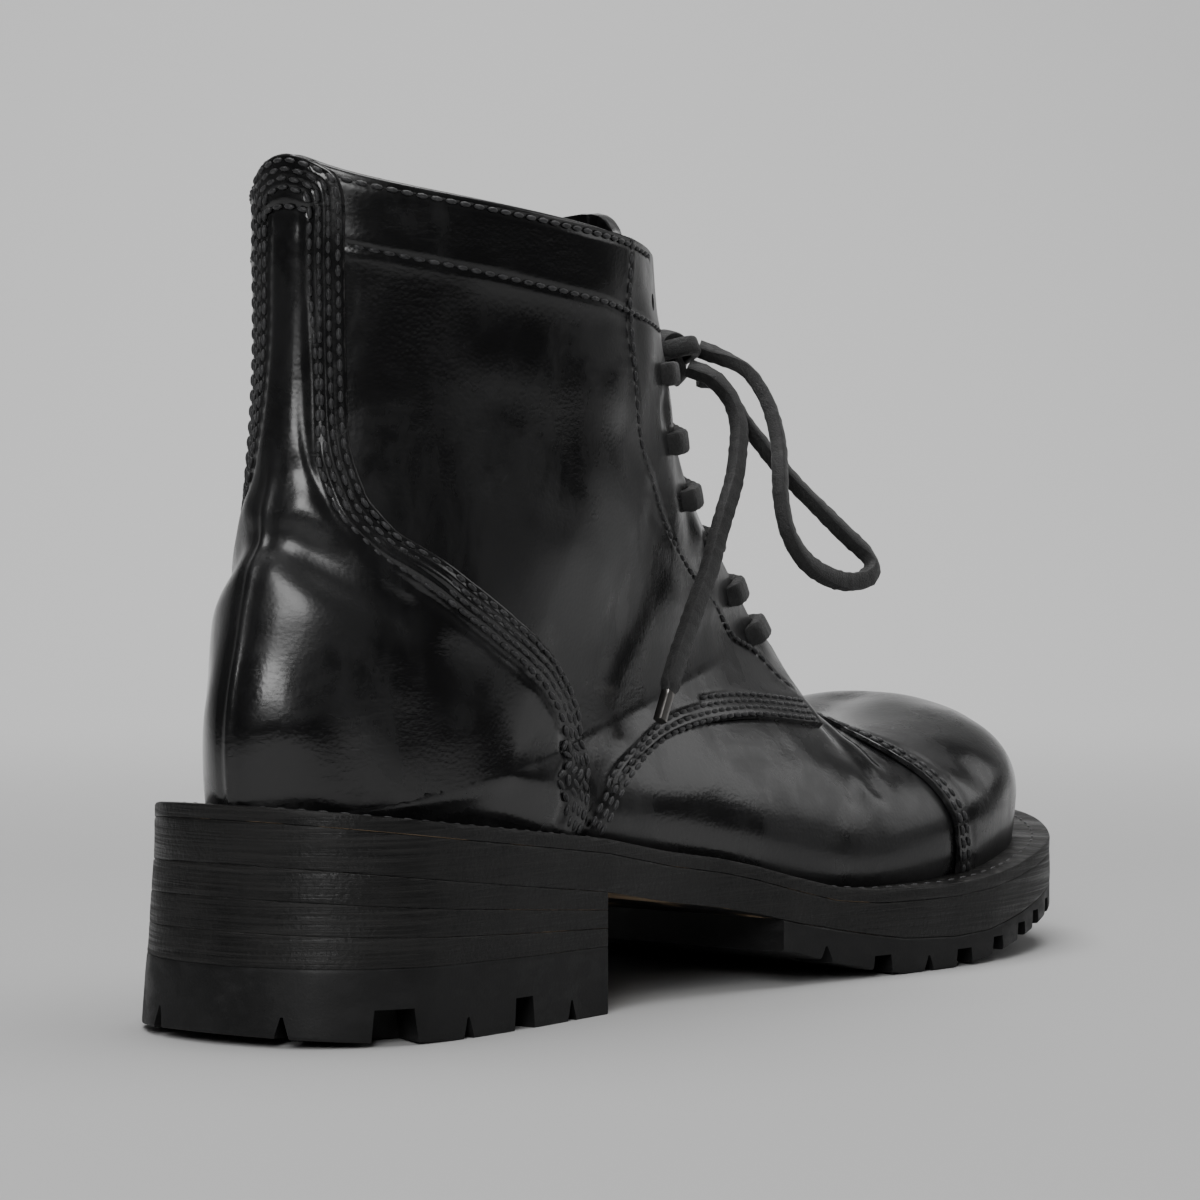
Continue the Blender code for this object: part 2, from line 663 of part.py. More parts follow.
def eyelet_cutters(collection):
    bm = bmesh.new()
    for section in EYELET_SECTIONS:
        for side in (-1, 1):
            centre, normal, _ = eyelet_frame(section, side, 0.0)
            turn = Vector((0, 0, 1)).rotation_difference(Vector(normal)).to_matrix().to_4x4()
            where = Matrix.Translation(place(centre)) @ turn
            bmesh.ops.create_cone(bm, cap_ends=True, segments=8, radius1=EYELET_SIZE / 2 * MM,
                                  radius2=EYELET_SIZE / 2 * MM, depth=EYELET_DEEP * MM, matrix=where)
    return hide_cutter(finish_mesh(bm, "eyelet_punches", collection))


def build_upper(parts, cutters, materials):
    leather = materials["leather"]
    ground = welt_top_cutter(cutters)
    punches = eyelet_cutters(cutters)
    upper = shell("upper", parts, leather, -UPPER_WALL, 0.0, 1, 25)
    boolean(upper, ground)
    boolean(upper, punches)

    counter_edge = [tuple(point) for point in smooth_loop(COUNTER_GUIDE, 4, closed=False)]
    behind_counter = counter_edge + [(-20, 30), (-20, 215)]
    counter = shell("heel_counter", parts, leather, GAP, GAP + COUNTER, 1, 15.6)
    boolean(counter, prism("counter_outline", cutters, behind_counter, -70, 70), "INTERSECT")
    boolean(counter, ground)

    quarter_outline = [(x + GAP, z) for x, z in counter_edge[:-1]] + QUARTER_EDGE[::-1]
    outline = prism("quarter_outline", cutters, quarter_outline, -70, 70)
    for name, side in (("quarter_lateral", -1), ("quarter_medial", 1)):
        quarter = shell(name, parts, leather, GAP, GAP + QUARTER, 1, 15.6, sides=(side,))
        boolean(quarter, outline, "INTERSECT")
        boolean(quarter, ground)
        boolean(quarter, punches)

    cap = shell("toe_cap", parts, leather, GAP, GAP + TOE_CAP, 14.8, 25)
    in_front = CAP_EDGE + [(330, 5), (330, 75)]
    boolean(cap, prism("cap_outline", cutters, in_front, -70, 70), "INTERSECT")
    boolean(cap, ground)


# Section and half width.
TONGUE_WIDTHS = [(0.35, 8), (0.42, 13), (0.55, 18), (0.8, 22.5), (1.3, 26), (3, 27.5), (6, 24), (9, 20),
                 (12, 17), (14, 13), (15, 10)]
TONGUE_SECTIONS = [0.35, 0.42, 0.55, 0.8, 1.3, 2.1, 3, 4, 5, 6, 7, 8, 9, 10.5, 12, 13.2, 14.2, 15]


def build_tongue(parts, materials):
    # A leather tongue under the flaps, with a rounded top that stands above the collar.
    shares = np.linspace(-1, 1, 9)
    outer = -UPPER_WALL - TONGUE_ROOM
    rows = []
    for section in TONGUE_SECTIONS:
        half = float(np.interp(section, *zip(*TONGUE_WIDTHS)))
        turns = []
        for share in shares:
            side = 1 if share >= 0 else -1
            turns.append(side * turn_at(section, abs(share) * half, side))
        rows.append([[skin(section, turn, offset) for turn in turns] for offset in (outer, outer - TONGUE)])
    bm = bmesh.new()
    verts = [[[bm.verts.new(place(p)) for p in layer] for layer in row] for row in rows]
    columns = len(shares)
    for i in range(len(rows) - 1):
        for j in range(columns - 1):
            for layer in (0, 1):
                a, b = verts[i][layer], verts[i + 1][layer]
                ring = (a[j], b[j], b[j + 1], a[j + 1])
                bm.faces.new(ring if layer == 0 else ring[::-1])
        for j in (0, columns - 1):
            a, b = verts[i], verts[i + 1]
            bm.faces.new((a[0][j], a[1][j], b[1][j], b[0][j]))
    for i in (0, len(rows) - 1):
        for j in range(columns - 1):
            top, low = verts[i]
            bm.faces.new((top[j], top[j + 1], low[j + 1], low[j]))
    return finish_mesh(bm, "tongue", parts, materials["leather"])


# ---- laces -------------------------------------------------------------------------------------
def ribbon(name, collection, material, route):
    # A flat lace: route holds section, turn and offset for each point of its middle line.
    points = [skin(*spot) for spot in route]
    bm = bmesh.new()
    rings = []
    for i, (section, turn, _) in enumerate(route):
        ahead = points[min(i + 1, len(points) - 1)] - points[max(i - 1, 0)]
        ahead /= np.linalg.norm(ahead)
        normal = last_normal(section, turn)
        across = np.cross(ahead, normal)
        across /= np.linalg.norm(across)
        up = np.cross(across, ahead)
        corners = [(-1, -1), (1, -1), (1, 1), (-1, 1)]
        rings.append([bm.verts.new(place(points[i] + across * u * LACE_WIDE / 2 + up * v * LACE_THICK / 2))
                      for u, v in corners])
    for a, b in zip(rings, rings[1:]):
        for i in range(4):
            k = (i + 1) % 4
            bm.faces.new((a[i], a[k], b[k], b[i]))
    bm.faces.new(rings[0][::-1])
    bm.faces.new(rings[-1])
    return finish_mesh(bm, name, collection, material)


ON_FLAP = GAP + QUARTER + GAP + LACE_THICK / 2


def strand_route(low, high, side, lift, on_flap):
    # From the eyelet at section low on one side, over the flap's edge, across the throat towards the
    # eyelet at section high on the other side, stopping short of that flap. Otherwise it lies within
    # the throat.
    route = []
    gap = half_gap(low)
    if on_flap:
        edge = turn_at(low, gap, side)
        eyelet = abs(eyelet_frame(low, side, 0.0)[2])
        for share in (0.85, 0.5, 0.15):
            route.append((low, side * (edge + (eyelet - edge) * share), ON_FLAP + 0.15))
    for share in (-0.95, -0.55, -0.2, 0.2, 0.5, 0.7) if on_flap else (-0.62, -0.3, 0, 0.3, 0.62):
        section = low + (high - low) * (share + 1) / 2 * 0.9
        here = -side if share > 0 else side
        offset = ON_FLAP * max(0, -share) if on_flap else -1.3
        turn = here * turn_at(section, abs(share) * gap, here)
        route.append((section, turn, offset - 1.0 * (share > 0) + lift))
    return route


def build_laces(parts, cutters, materials):
    cord = materials["lace"]
    rows = EYELET_SECTIONS[:0:-1]
    for i, (low, high) in enumerate(zip(rows, rows[1:]), start=1):
        strands = []
        for side, lift in ((-1, 0.7), (1, 0.1)):
            home = parts if side < 0 else cutters
            route = strand_route(low, high, side, lift, on_flap=i > 1)
            strands.append(ribbon(f"lace_cross_{i}" if side < 0 else f"lace_strand_{i}", home, cord, route))
        boolean(strands[0], hide_cutter(strands[1]), "UNION")
    for name, section in (("lace_bar_bottom", rows[0]), ("lace_bar_top", rows[-1])):
        route = []
        edge = [turn_at(section, half_gap(section), side) for side in (-1, 1)]
        ends = [abs(eyelet_frame(section, side, 0.0)[2]) for side in (-1, 1)]
        for share in (0.85, 0.5, 0.15):
            route.append((section, -(edge[0] + (ends[0] - edge[0]) * share), ON_FLAP + 0.15))
        for y in (-0.9, -0.5, 0, 0.5, 0.9):
            here = -1 if y < 0 else 1
            route.append((section, here * turn_at(section, abs(y) * half_gap(section), here), ON_FLAP + 0.15))
        for share in (0.15, 0.5, 0.85):
            route.append((section, edge[1] + (ends[1] - edge[1]) * share, ON_FLAP + 0.15))
        ribbon(name, parts, cord, route)


KNOT = (162.5, -2.0, 146.5)
KNOT_SIZE = (11.0, 15.0, 12.0)
LATERAL_LOOP = [(167.5, -7.8, 148.2), (170.8, -12.5, 146), (172.8, -18, 142.9), (172.3, -23.5, 136.9),
                (170.4, -27.5, 130.9), (168, -30.5, 125), (164.8, -33, 119.1), (162.3, -35, 112.6),
                (161.6, -37.5, 104.8), (165.2, -39.5, 98.6), (172.6, -41, 94.6), (181.4, -42, 93),
                (188.3, -42.3, 94), (191.7, -41.5, 96.4), (191.6, -39.5, 99.5), (187.8, -36.5, 103.9),
                (183, -32.5, 109.9), (180, -28, 115.3), (177, -24.5, 120.4), (174, -21, 126.1),
                (172.1, -17.8, 130.9), (170.7, -15, 136.1), (168.8, -12.5, 140.3), (165, -9.6, 141.4)]
LATERAL_END = [(160, -10.2, 143.5), (162.5, -15, 141.2), (164.5, -19, 136.3), (163, -22.5, 130),
               (159, -25, 123.5), (154.5, -27, 117), (149, -28.5, 110.5), (144, -29.5, 103.7),
               (138.5, -31, 96.5), (131.5, -32.5, 89.3), (125, -34, 82.3), (119, -35.5, 76),
               (114.5, -36.5, 70), (110.5, -37, 63.5)]
MEDIAL_LOOP = [(165.5, 4.5, 150), (170, 12, 152), (175, 21, 149), (179, 29, 141), (181, 34, 130),
               (181, 37, 121), (179, 38, 115), (176.5, 35.5, 119), (173, 28, 129), (169.5, 19, 138),
               (167, 11, 142), (165.5, 5.5, 142.5)]
MEDIAL_END = [(161, 6.2, 144.5), (164.5, 13, 143), (163, 20, 136), (157, 26, 126), (149, 31.5, 115),
              (140, 35, 105), (131, 37.2, 95.5), (123, 38.5, 86)]


def free_lace(name, collection, material, points):
    curve = bpy.data.curves.new(name, "CURVE")
    curve.dimensions = "3D"
    curve.bevel_depth = CORD_RADIUS * MM
    curve.bevel_resolution = 2
    curve.use_fill_caps = True
    route = smooth_loop(points, 2, closed=False)
    spline = curve.splines.new("POLY")
    spline.points.add(len(route) - 1)
    for target, point in zip(spline.points, route):
        target.co = (*place(point), 1)
    thing = bpy.data.objects.new(name, curve)
    collection.objects.link(thing)
    curve.materials.append(material)
    return thing


def build_bow(parts, materials):
    cord = materials["lace"]
    bm = bmesh.new()
    scale = Matrix.Diagonal([size * MM / 2 for size in KNOT_SIZE] + [1])
    bmesh.ops.create_uvsphere(bm, u_segments=12, v_segments=8, radius=1,
                              matrix=Matrix.Translation(place(KNOT)) @ scale)
    finish_mesh(bm, "lace_knot", parts, cord)
    free_lace("lace_loop_lateral", parts, cord, LATERAL_LOOP)
    free_lace("lace_end_lateral", parts, cord, LATERAL_END)
    free_lace("lace_loop_medial", parts, cord, MEDIAL_LOOP)
    free_lace("lace_end_medial", parts, cord, MEDIAL_END)


def main():
    clear_scene()
    parts = make_collection("service boot")
    cutters = make_collection("cutters")
    materials = {
        "leather": make_material("black leather", (0.012, 0.012, 0.013), 0.25),
        "sole leather": make_material("black sole leather", (0.03, 0.03, 0.031), 0.6),
        "rubber": make_material("black rubber", (0.035, 0.035, 0.037), 0.65),
        "insole": make_material("insole leather", (0.25, 0.16, 0.09), 0.7),
        "lace": make_material("black lace", (0.02, 0.02, 0.021), 0.5),
    }
    build_sole(parts, cutters, materials)
    build_upper(parts, cutters, materials)
    build_tongue(parts, materials)
    build_laces(parts, cutters, materials)
    build_bow(parts, materials)


main()
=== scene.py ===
import bpy
import bmesh
import numpy as np
from math import cos, pi, radians, sin
from mathutils import Matrix, Vector, kdtree


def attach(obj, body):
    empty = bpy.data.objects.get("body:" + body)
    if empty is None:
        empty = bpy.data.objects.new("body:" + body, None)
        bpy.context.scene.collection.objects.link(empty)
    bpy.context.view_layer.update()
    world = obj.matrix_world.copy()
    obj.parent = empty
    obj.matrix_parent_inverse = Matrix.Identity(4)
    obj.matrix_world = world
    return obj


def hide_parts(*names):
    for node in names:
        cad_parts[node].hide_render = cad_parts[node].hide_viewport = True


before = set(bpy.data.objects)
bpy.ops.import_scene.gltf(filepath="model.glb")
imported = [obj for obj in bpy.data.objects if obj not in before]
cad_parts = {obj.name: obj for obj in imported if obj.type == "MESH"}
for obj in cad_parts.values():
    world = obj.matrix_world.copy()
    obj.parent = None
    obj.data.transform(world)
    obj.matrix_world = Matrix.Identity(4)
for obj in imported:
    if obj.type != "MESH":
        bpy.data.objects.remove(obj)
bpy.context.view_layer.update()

# Service boot, right foot. Lengths are in millimetres, with x forward from the back of the heel, y to the
# inner side and z up from the floor; toWorld turns them into the frame's metres.
mm = 0.001
originX = 152.0


def toWorld(points):
    return (np.asarray(points, float) - (originX, 0, 0)) * mm


# The last: sections fan from the collar round the heel and along the foot to the toe. These rows are
# the same as in part.py.
wall = 2.0             # vamp and lining
soleEdge = [(5, 22, 22), (22, 36, 36), (50, 39.5, 39.5), (85, 39, 37), (120, 39, 34.5), (160, 46, 41),
            (200, 54, 52), (232, 56, 56), (264, 48, 53), (289, 29, 42), (300, 10, 29)]
soleHeel, soleToe = (0, 0), (304, 11)
levelColumns = ("x", "rim", "seam", "tread")
levels = [(0, 50.5, 38.0, 16.5), (36, 45.5, 33.3, 16.0), (88, 38.8, 27.0, 15.0), (113, 34.0, 22.6, 13.0),
          (131, 31.2, 20.0, 11.0), (142, 28.8, 17.8, 9.6), (154, 25.6, 15.0, 7.8), (168, 22.2, 12.2, 4.2),
          (181, 20.8, 10.0, 1.4), (190, 20.5, 8.6, 0.0), (208, 20.4, 7.6, 0.0), (222, 21.2, 8.2, 1.4),
          (237, 22.9, 10.6, 4.2), (255, 25.4, 14.0, 7.6), (275, 28.0, 17.2, 10.4), (290, 30.0, 19.2, 12.2),
          (304, 32.0, 21.0, 14.0)]
feather = [(11, 4.5, 4.5), (15, 10, 10), (21, 15, 15), (28, 19, 19), (38, 22.5, 22.5),
           (48, 25, 25), (62, 27.3, 26.2), (85, 28.8, 26.5), (120, 30.8, 26), (160, 36.2, 31), (200, 42.8, 40.5),
           (232, 43.6, 43.6), (255, 39, 42), (270, 31, 37), (282, 17.5, 31), (288, 5, 24.5)]
featherHeel, featherToe = (10, 0), (290.5, 11)
lastColumns = ("x", "z", "ridgeX", "ridgeZ", "lateral", "medial", "ridgeY", "wide", "top", "low", "sag")
last = [
    (27, 204, 139, 188, 37, 37, 0, .53, 1.60, 1.75, 5),
    (27, 187, 142, 166, 37, 37, 0, .53, 1.60, 1.75, 4),
    (27, 165, 145.5, 152.5, 36.5, 36.5, 0, .52, 1.60, 1.75, 3),
    (26.5, 144, 151, 141, 36, 36, 0, .50, 1.60, 1.7, 1.5),
    (24, 125, 157, 130, 35, 34.5, 0, .47, 1.60, 1.6, .5),
    (19.5, 106, 164, 119, 34.5, 33.5, 0, .43, 1.60, 1.5, 0),
    (14, 90, 172.5, 109, 33.5, 33, 0, .38, 1.60, 1.6, 0),
    (10, 75, 181, 100, 32.5, 32, 0, .34, 1.62, 1.6, 0),
    (8.5, 61, 188, 92, 32, 31.5, 0, .30, 1.64, 1.6, 0),
    (10, None, 194.5, 85, 32, 31.5, 0, .26, 1.66, 1.5, 0),
    (14, None, 198.5, 81, 32.2, 31.2, 0, .26, 1.68, 1.5, 0),
    (28, None, 201.5, 77.5, 32.6, 31.0, 0, .27, 1.70, 1.7, 0),
    (50, None, 204.5, 73.5, 33.5, 31.3, 0, .28, 1.72, 2.0, 0),
    (80, None, 207.5, 69, 35.5, 32.5, 0, .29, 1.78, 2.5, 0),
    (110, None, 210, 64.5, 37.5, 33.5, 0, .31, 1.85, 2.6, 0),
    (140, None, 213, 60.5, 40.5, 36.0, .5, .33, 1.92, 2.6, 0),
    (168, None, 217.5, 57.5, 44.5, 40.0, 1, .35, 2.0, 2.6, 0),
    (194, None, 224, 56, 47.0, 45.0, 2, .37, 2.05, 2.6, 0),
    (216, None, 234, 56.5, 47.5, 48.0, 3, .39, 2.15, 2.5, 0),
    (236, None, 247, 58.8, 45.5, 47.5, 4.5, .40, 2.2, 2.5, 0),
    (254, None, 260, 60.3, 40.5, 45.5, 5.5, .40, 2.2, 2.4, 0),
    (268, None, 272, 58.5, 33.0, 42.0, 6.5, .40, 2.2, 2.4, 0),
    (279, None, 282, 53.5, 23.0, 36.5, 7.5, .42, 2.2, 2.3, 0),
    (286, None, 288.2, 46.5, 11.5, 29.5, 8.2, .45, 2.15, 2.2, 0),
    (289.8, None, 291.3, 38.5, 0.0, 21.0, 8.6, .48, 2.1, 2.1, 0),
]
lastRow = len(last) - 1
heelRow = 9            # first section whose foot is on the feather line
footDrop = 4.0
wallTurn = 0.7
sagPower, sagSoft = 0.25, 0.01
throat = [(0, 22), (2, 21), (3, 20.5), (4.2, 19), (5.3, 15.5), (6.5, 10.5), (7.9, 8), (9.5, 7), (11, 6), (12, 0)]
throatEnd = 12
eyeletSections = [1.75, 2.95, 4.2, 5.3, 6.5, 7.9, 9.5]     # the top pair stays empty
eyeletInset = 10.0
sectionStep = 17.0     # from one section to the next below the collar
underWelt = 0.4        # how far the leather's lower edges go under the rim


def level(name, x):
    at = levelColumns.index(name)
    return np.interp(x, [row[0] for row in levels], [row[at] for row in levels])


def rim(x):
    return level("rim", x)


def seam(x):
    return level("seam", x)


def tread(x):
    return level("tread", x)


def smoothLine(points, steps, closed=False):
    # Centripetal Catmull-Rom through the points.
    points = np.array(points, float)
    count = len(points)
    if not closed:
        points = np.vstack([2 * points[0] - points[1], points, 2 * points[-1] - points[-2]])
    out = []
    for i in range(count if closed else count - 1):
        picks = [(i + k) % count for k in (-1, 0, 1, 2)] if closed else [i, i + 1, i + 2, i + 3]
        a, b, c, d = (points[k] for k in picks)
        knots = np.cumsum([0] + [np.linalg.norm(v) ** 0.5 for v in (b - a, c - b, d - c)])
        for u in np.linspace(knots[1], knots[2], steps, endpoint=False):
            def mix(p, q, start, end):
                return ((end - u) * p + (u - start) * q) / (end - start)
            ab, bc, cd = mix(a, b, knots[0], knots[1]), mix(b, c, knots[1], knots[2]), mix(c, d, knots[2], knots[3])
            out.append(mix(mix(ab, bc, knots[0], knots[2]), mix(bc, cd, knots[1], knots[3]), knots[1], knots[2]))
    if not closed:
        out.append(points[-2])
    return np.array(out)


def unit(vectors):
    vectors = np.asarray(vectors, float)
    return vectors / np.linalg.norm(vectors, axis=-1)[..., None]


def outlineLoop(table, heel, toe):
    lateral = [(x, -y) for x, y, _ in table]
    medial = [(x, y) for x, _, y in table]
    return smoothLine([heel] + lateral + [toe] + medial[::-1], 20, closed=True)


def insetLoop(loop, inset):
    along = unit(np.roll(loop, -1, axis=0) - np.roll(loop, 1, axis=0))
    inwards = np.stack([-along[:, 1], along[:, 0]], axis=1)
    return loop + inwards * np.reshape(inset, (-1, 1))


def sideCurve(loop, side):
    heel, toe = loop[:, 0].argmin(), loop[:, 0].argmax()
    if side < 0:
        run = loop[heel:toe + 1] if heel < toe else np.vstack([loop[heel:], loop[:toe + 1]])
    else:
        run = (loop[toe:heel + 1] if toe < heel else np.vstack([loop[toe:], loop[:heel + 1]]))[::-1]
    run = run[np.concatenate([[True], np.diff(np.maximum.accumulate(run[:, 0])) > 1e-6])]
    return lambda x: np.interp(x, run[:, 0], run[:, 1])


edgeLoop = outlineLoop(soleEdge, soleHeel, soleToe)
featherLoop = insetLoop(outlineLoop(feather, featherHeel, featherToe), wall)
lateralFoot, medialFoot = sideCurve(featherLoop, -1), sideCurve(featherLoop, 1)
footHeel, footToe = featherHeel[0] + wall, featherToe[0] - wall


def splineThrough(rows):
    rows = np.asarray(rows, float)
    count = len(rows)
    matrix = np.eye(count)
    right = np.zeros_like(rows)
    for i in range(1, count - 1):
        matrix[i, i - 1:i + 2] = (1, 4, 1)
        right[i] = 6 * (rows[i - 1] - 2 * rows[i] + rows[i + 1])
    bend = np.linalg.solve(matrix, right)

    def value(at):
        at = np.clip(at, 0, count - 1)
        i = np.minimum(at.astype(int), count - 2)
        u = (at - i)[..., None]
        line = (1 - u) * rows[i] + u * rows[i + 1]
        return line + ((1 - u) ** 3 - (1 - u)) * bend[i] / 6 + (u ** 3 - u) * bend[i + 1] / 6

    return value


def liningRows():
    # The table gives the upper's outer face; the last itself is the lining's, a wall further in.
    rows = [dict(zip(lastColumns, row)) for row in last]
    squeeze = (footToe - footHeel) / (featherToe[0] - featherHeel[0])

    def rightOf(points):
        along = unit(np.gradient(np.array(points, float), axis=0))
        return np.stack([along[:, 1], -along[:, 0]], axis=1)

    ridgeIn = rightOf([(row["ridgeX"], row["ridgeZ"]) for row in rows])
    backIn = -rightOf([(row["x"], row["z"] or rim(row["x"])) for row in rows[:heelRow + 1]])
    for i, row in enumerate(rows):
        row["ridgeX"] += ridgeIn[i][0] * wall
        row["ridgeZ"] += ridgeIn[i][1] * wall
        row["lateral"] -= wall
        row["medial"] -= wall
        if i < heelRow:
            row["x"] += backIn[i][0] * wall
            row["z"] += backIn[i][1] * wall
        else:
            row["x"] = footHeel + (row["x"] - featherHeel[0]) * squeeze
            row["z"] = rim(row["x"]) - footDrop
    return [[row[name] for name in lastColumns] for row in rows]


sectionAt = splineThrough(liningRows())
toePole = np.array([footToe, featherToe[1], rim(footToe) - footDrop])


def dipShare(up):
    return ((up + sagSoft) ** sagPower - sagSoft ** sagPower) / ((1 + sagSoft) ** sagPower - sagSoft ** sagPower)


def lastPoint(section, turn):
    # turn runs from -1 at the back, round the lateral side, 0 at the front ridge, to 1 at the back again.
    section, turn = np.broadcast_arrays(np.asarray(section, float), np.asarray(turn, float))
    turn = np.where(turn > 1, turn - 2, np.where(turn < -1, turn + 2, turn))
    side = np.where(turn < 0, -1.0, 1.0)
    row = dict(zip(lastColumns, np.moveaxis(sectionAt(np.minimum(section, lastRow)), -1, 0)))
    foot = section >= heelRow
    footX = np.where(foot, np.clip(row["x"], footHeel, footToe), row["x"])
    footZ = np.where(foot, rim(footX) - footDrop, row["z"])
    footY = np.where(foot, np.where(side > 0, medialFoot(footX), lateralFoot(footX)), 0.0)
    widest = side * np.where(side > 0, row["medial"], row["lateral"])
    along, across = np.abs(np.cos(pi * turn)), np.abs(np.sin(pi * turn))
    upper = np.abs(turn) <= 0.5
    up = np.where(upper, row["wide"] + (1 - row["wide"]) * along ** (2 / row["top"]),
                  row["wide"] * (1 - along ** (2 / row["low"])))
    openFoot = np.minimum(1, np.abs(footY - row["ridgeY"]) / (0.75 * np.abs(widest - row["ridgeY"]) + 1e-9))
    power = np.where(foot, 1 / row["low"] + (1 - 1 / row["low"]) * openFoot, 1 / row["low"])
    y = np.where(upper, row["ridgeY"] + (widest - row["ridgeY"]) * across ** (2 / row["top"]),
                 footY + (widest - footY) * across ** (2 * power))
    x = footX + (row["ridgeX"] - footX) * up
    z = footZ + (row["ridgeZ"] - footZ) * up - row["sag"] * 4 * dipShare(up) * (1 - dipShare(up))
    points = np.stack([x, y, z], axis=-1)
    past = np.clip(section - lastRow, 0, 1)[..., None]
    return points * (1 - past) + toePole * past


def lastNormal(section, turn):
    section, turn = np.broadcast_arrays(np.asarray(section, float), np.asarray(turn, float))
    at = np.minimum(section, lastRow)
    before, after = np.maximum(at - 0.1, 0), np.minimum(at + 0.1, lastRow)
    foot = at > heelRow
    turn = np.where(foot, np.clip(turn, -wallTurn, wallTurn), turn)
    before = np.where(foot, np.maximum(before, heelRow), before)
    after = np.where(foot, after, np.minimum(after, heelRow))
    across = lastPoint(at, turn + 0.02) - lastPoint(at, turn - 0.02)
    along = lastPoint(after, turn) - lastPoint(before, turn)
    past = np.clip(section - lastRow, 0, 1)[..., None]
    return unit(unit(np.cross(along, across)) * (1 - past) + np.array([1.0, 0, 0]) * past)


def skin(section, turn, offset=0.0):
    # A point of the upper's outer face, moved outwards by offset.
    return lastPoint(section, turn) + lastNormal(section, turn) * (wall + np.asarray(offset, float))[..., None]


def skinOf(at, offset=0.0):
    return skin(at[..., 0], at[..., 1], offset)


def normalOf(at):
    return lastNormal(at[..., 0], at[..., 1])


def turnAt(section, y, side):
    # The turn at which a section is y from the middle, on its front half.
    row = dict(zip(lastColumns, np.moveaxis(sectionAt(np.asarray(section, float)), -1, 0)))
    widest = row["medial"] if side > 0 else row["lateral"]
    share = np.clip((np.abs(y) - side * row["ridgeY"]) / (widest - side * row["ridgeY"]), 0, 1)
    return np.arcsin(share ** (row["top"] / 2)) / pi


throatFine = np.linspace(0, 13, 261)
throatHalf = np.interp(throatFine, *zip(*throat))
blend = np.hanning(21)[1:-1] / np.hanning(21).sum()
evened = np.convolve(np.pad(throatHalf, 9, mode="edge"), blend, "valid")
throatHalf[:220] = evened[:220]          # down to section 11, before the gap closes


def halfGap(section):
    return np.interp(section, throatFine, throatHalf)


# Side-view lines on the skin: from x and z to section and turn.
seekSections, seekTurns = np.meshgrid(np.arange(0.4, 24.5, 0.12), np.arange(0.01, 1.0, 0.012), indexing="ij")
seekPoints = {side: skin(seekSections, side * seekTurns)[..., [0, 2]].reshape(-1, 2) for side in (-1, 1)}


def onSkin(places, side):
    places = np.asarray(places, float)
    found = [((seekPoints[side] - place) ** 2).sum(axis=1).argmin() for place in places]
    at = np.stack([seekSections.ravel()[found], side * seekTurns.ravel()[found]], axis=1)
    for _ in range(6):
        here = skinOf(at)[:, [0, 2]]
        bySection = (skinOf(at + (0.01, 0))[:, [0, 2]] - here) / 0.01
        byTurn = (skinOf(at + (0, 0.002))[:, [0, 2]] - here) / 0.002
        miss = places - here
        det = bySection[:, 0] * byTurn[:, 1] - bySection[:, 1] * byTurn[:, 0]
        det = np.where(np.abs(det) < 1e-3, 1e9, det)
        step = np.stack([(miss[:, 0] * byTurn[:, 1] - miss[:, 1] * byTurn[:, 0]) / det,
                         (bySection[:, 0] * miss[:, 1] - bySection[:, 1] * miss[:, 0]) / det], axis=1)
        at = at + np.clip(step, -0.3, 0.3) * (1, 0.2)
        at[:, 0] = np.clip(at[:, 0], 0.3, 24.9)
        at[:, 1] = side * np.clip(side * at[:, 1], 0.003, 0.999)
    return at


def acrossAt(section, first, final, count):
    # A line round one section, from one turn to another.
    return np.stack([np.full(count, section), np.linspace(first, final, count)], axis=1)


def lengthsOf(points):
    return np.concatenate([[0], np.cumsum(np.linalg.norm(np.diff(points, axis=0), axis=1))])


def readAt(want, run, table):
    # The table's columns, read at the wanted distances along its run.
    return np.stack([np.interp(want, run, column) for column in np.asarray(table).T], axis=1)


def respace(line, step=1.0):
    # A line of section and turn, with its points evenly spread on the skin.
    for _ in range(2):
        run = lengthsOf(skinOf(line))
        count = max(2, int(round(run[-1] / step)) + 1)
        want = np.linspace(0, run[-1], count)
        line = readAt(want, run, line)
    return line


def sideLine(places, side):
    return respace(onSkin(smoothLine(places, 8), side))


def slideOn(at, shift):
    # Moves points of the skin by a short way along it.
    here = skinOf(at)
    bySection = (skinOf(at + (0.01, 0)) - here) / 0.01
    byTurn = (skinOf(at + (0, 0.002)) - here) / 0.002
    a, b, c = (bySection ** 2).sum(1), (bySection * byTurn).sum(1), (byTurn ** 2).sum(1)
    p, q = (bySection * shift).sum(1), (byTurn * shift).sum(1)
    det = a * c - b * b + 1e-9
    return at + np.stack([(p * c - q * b) / det, (a * q - b * p) / det], axis=1)


def besideLine(line, distance):
    # The line moved sideways along the skin, to its left if distance is positive, with folds cut away.
    at = line
    steps = max(1, int(np.ceil(abs(distance) / 1.5)))
    along = np.gradient(skinOf(line), axis=0)
    for _ in range(steps):
        at = slideOn(at, unit(np.cross(normalOf(at), along)) * distance / steps)
    tree = treeOf(skinOf(line))
    keep = [tree.find(p)[2] > abs(distance) - 0.15 for p in skinOf(at)]
    return respace(at[np.array(keep)])


def treeOf(points):
    tree = kdtree.KDTree(len(points))
    for i, point in enumerate(points):
        tree.insert(point, i)
    tree.balance()
    return tree


def distanceTo(line, points):
    # Distance of points on the skin from a line of section and turn.
    tree = treeOf(skinOf(respace(line, 0.35)))
    flat = points.reshape(-1, 3)
    return np.array([tree.find(p)[2] for p in flat]).reshape(points.shape[:-1])


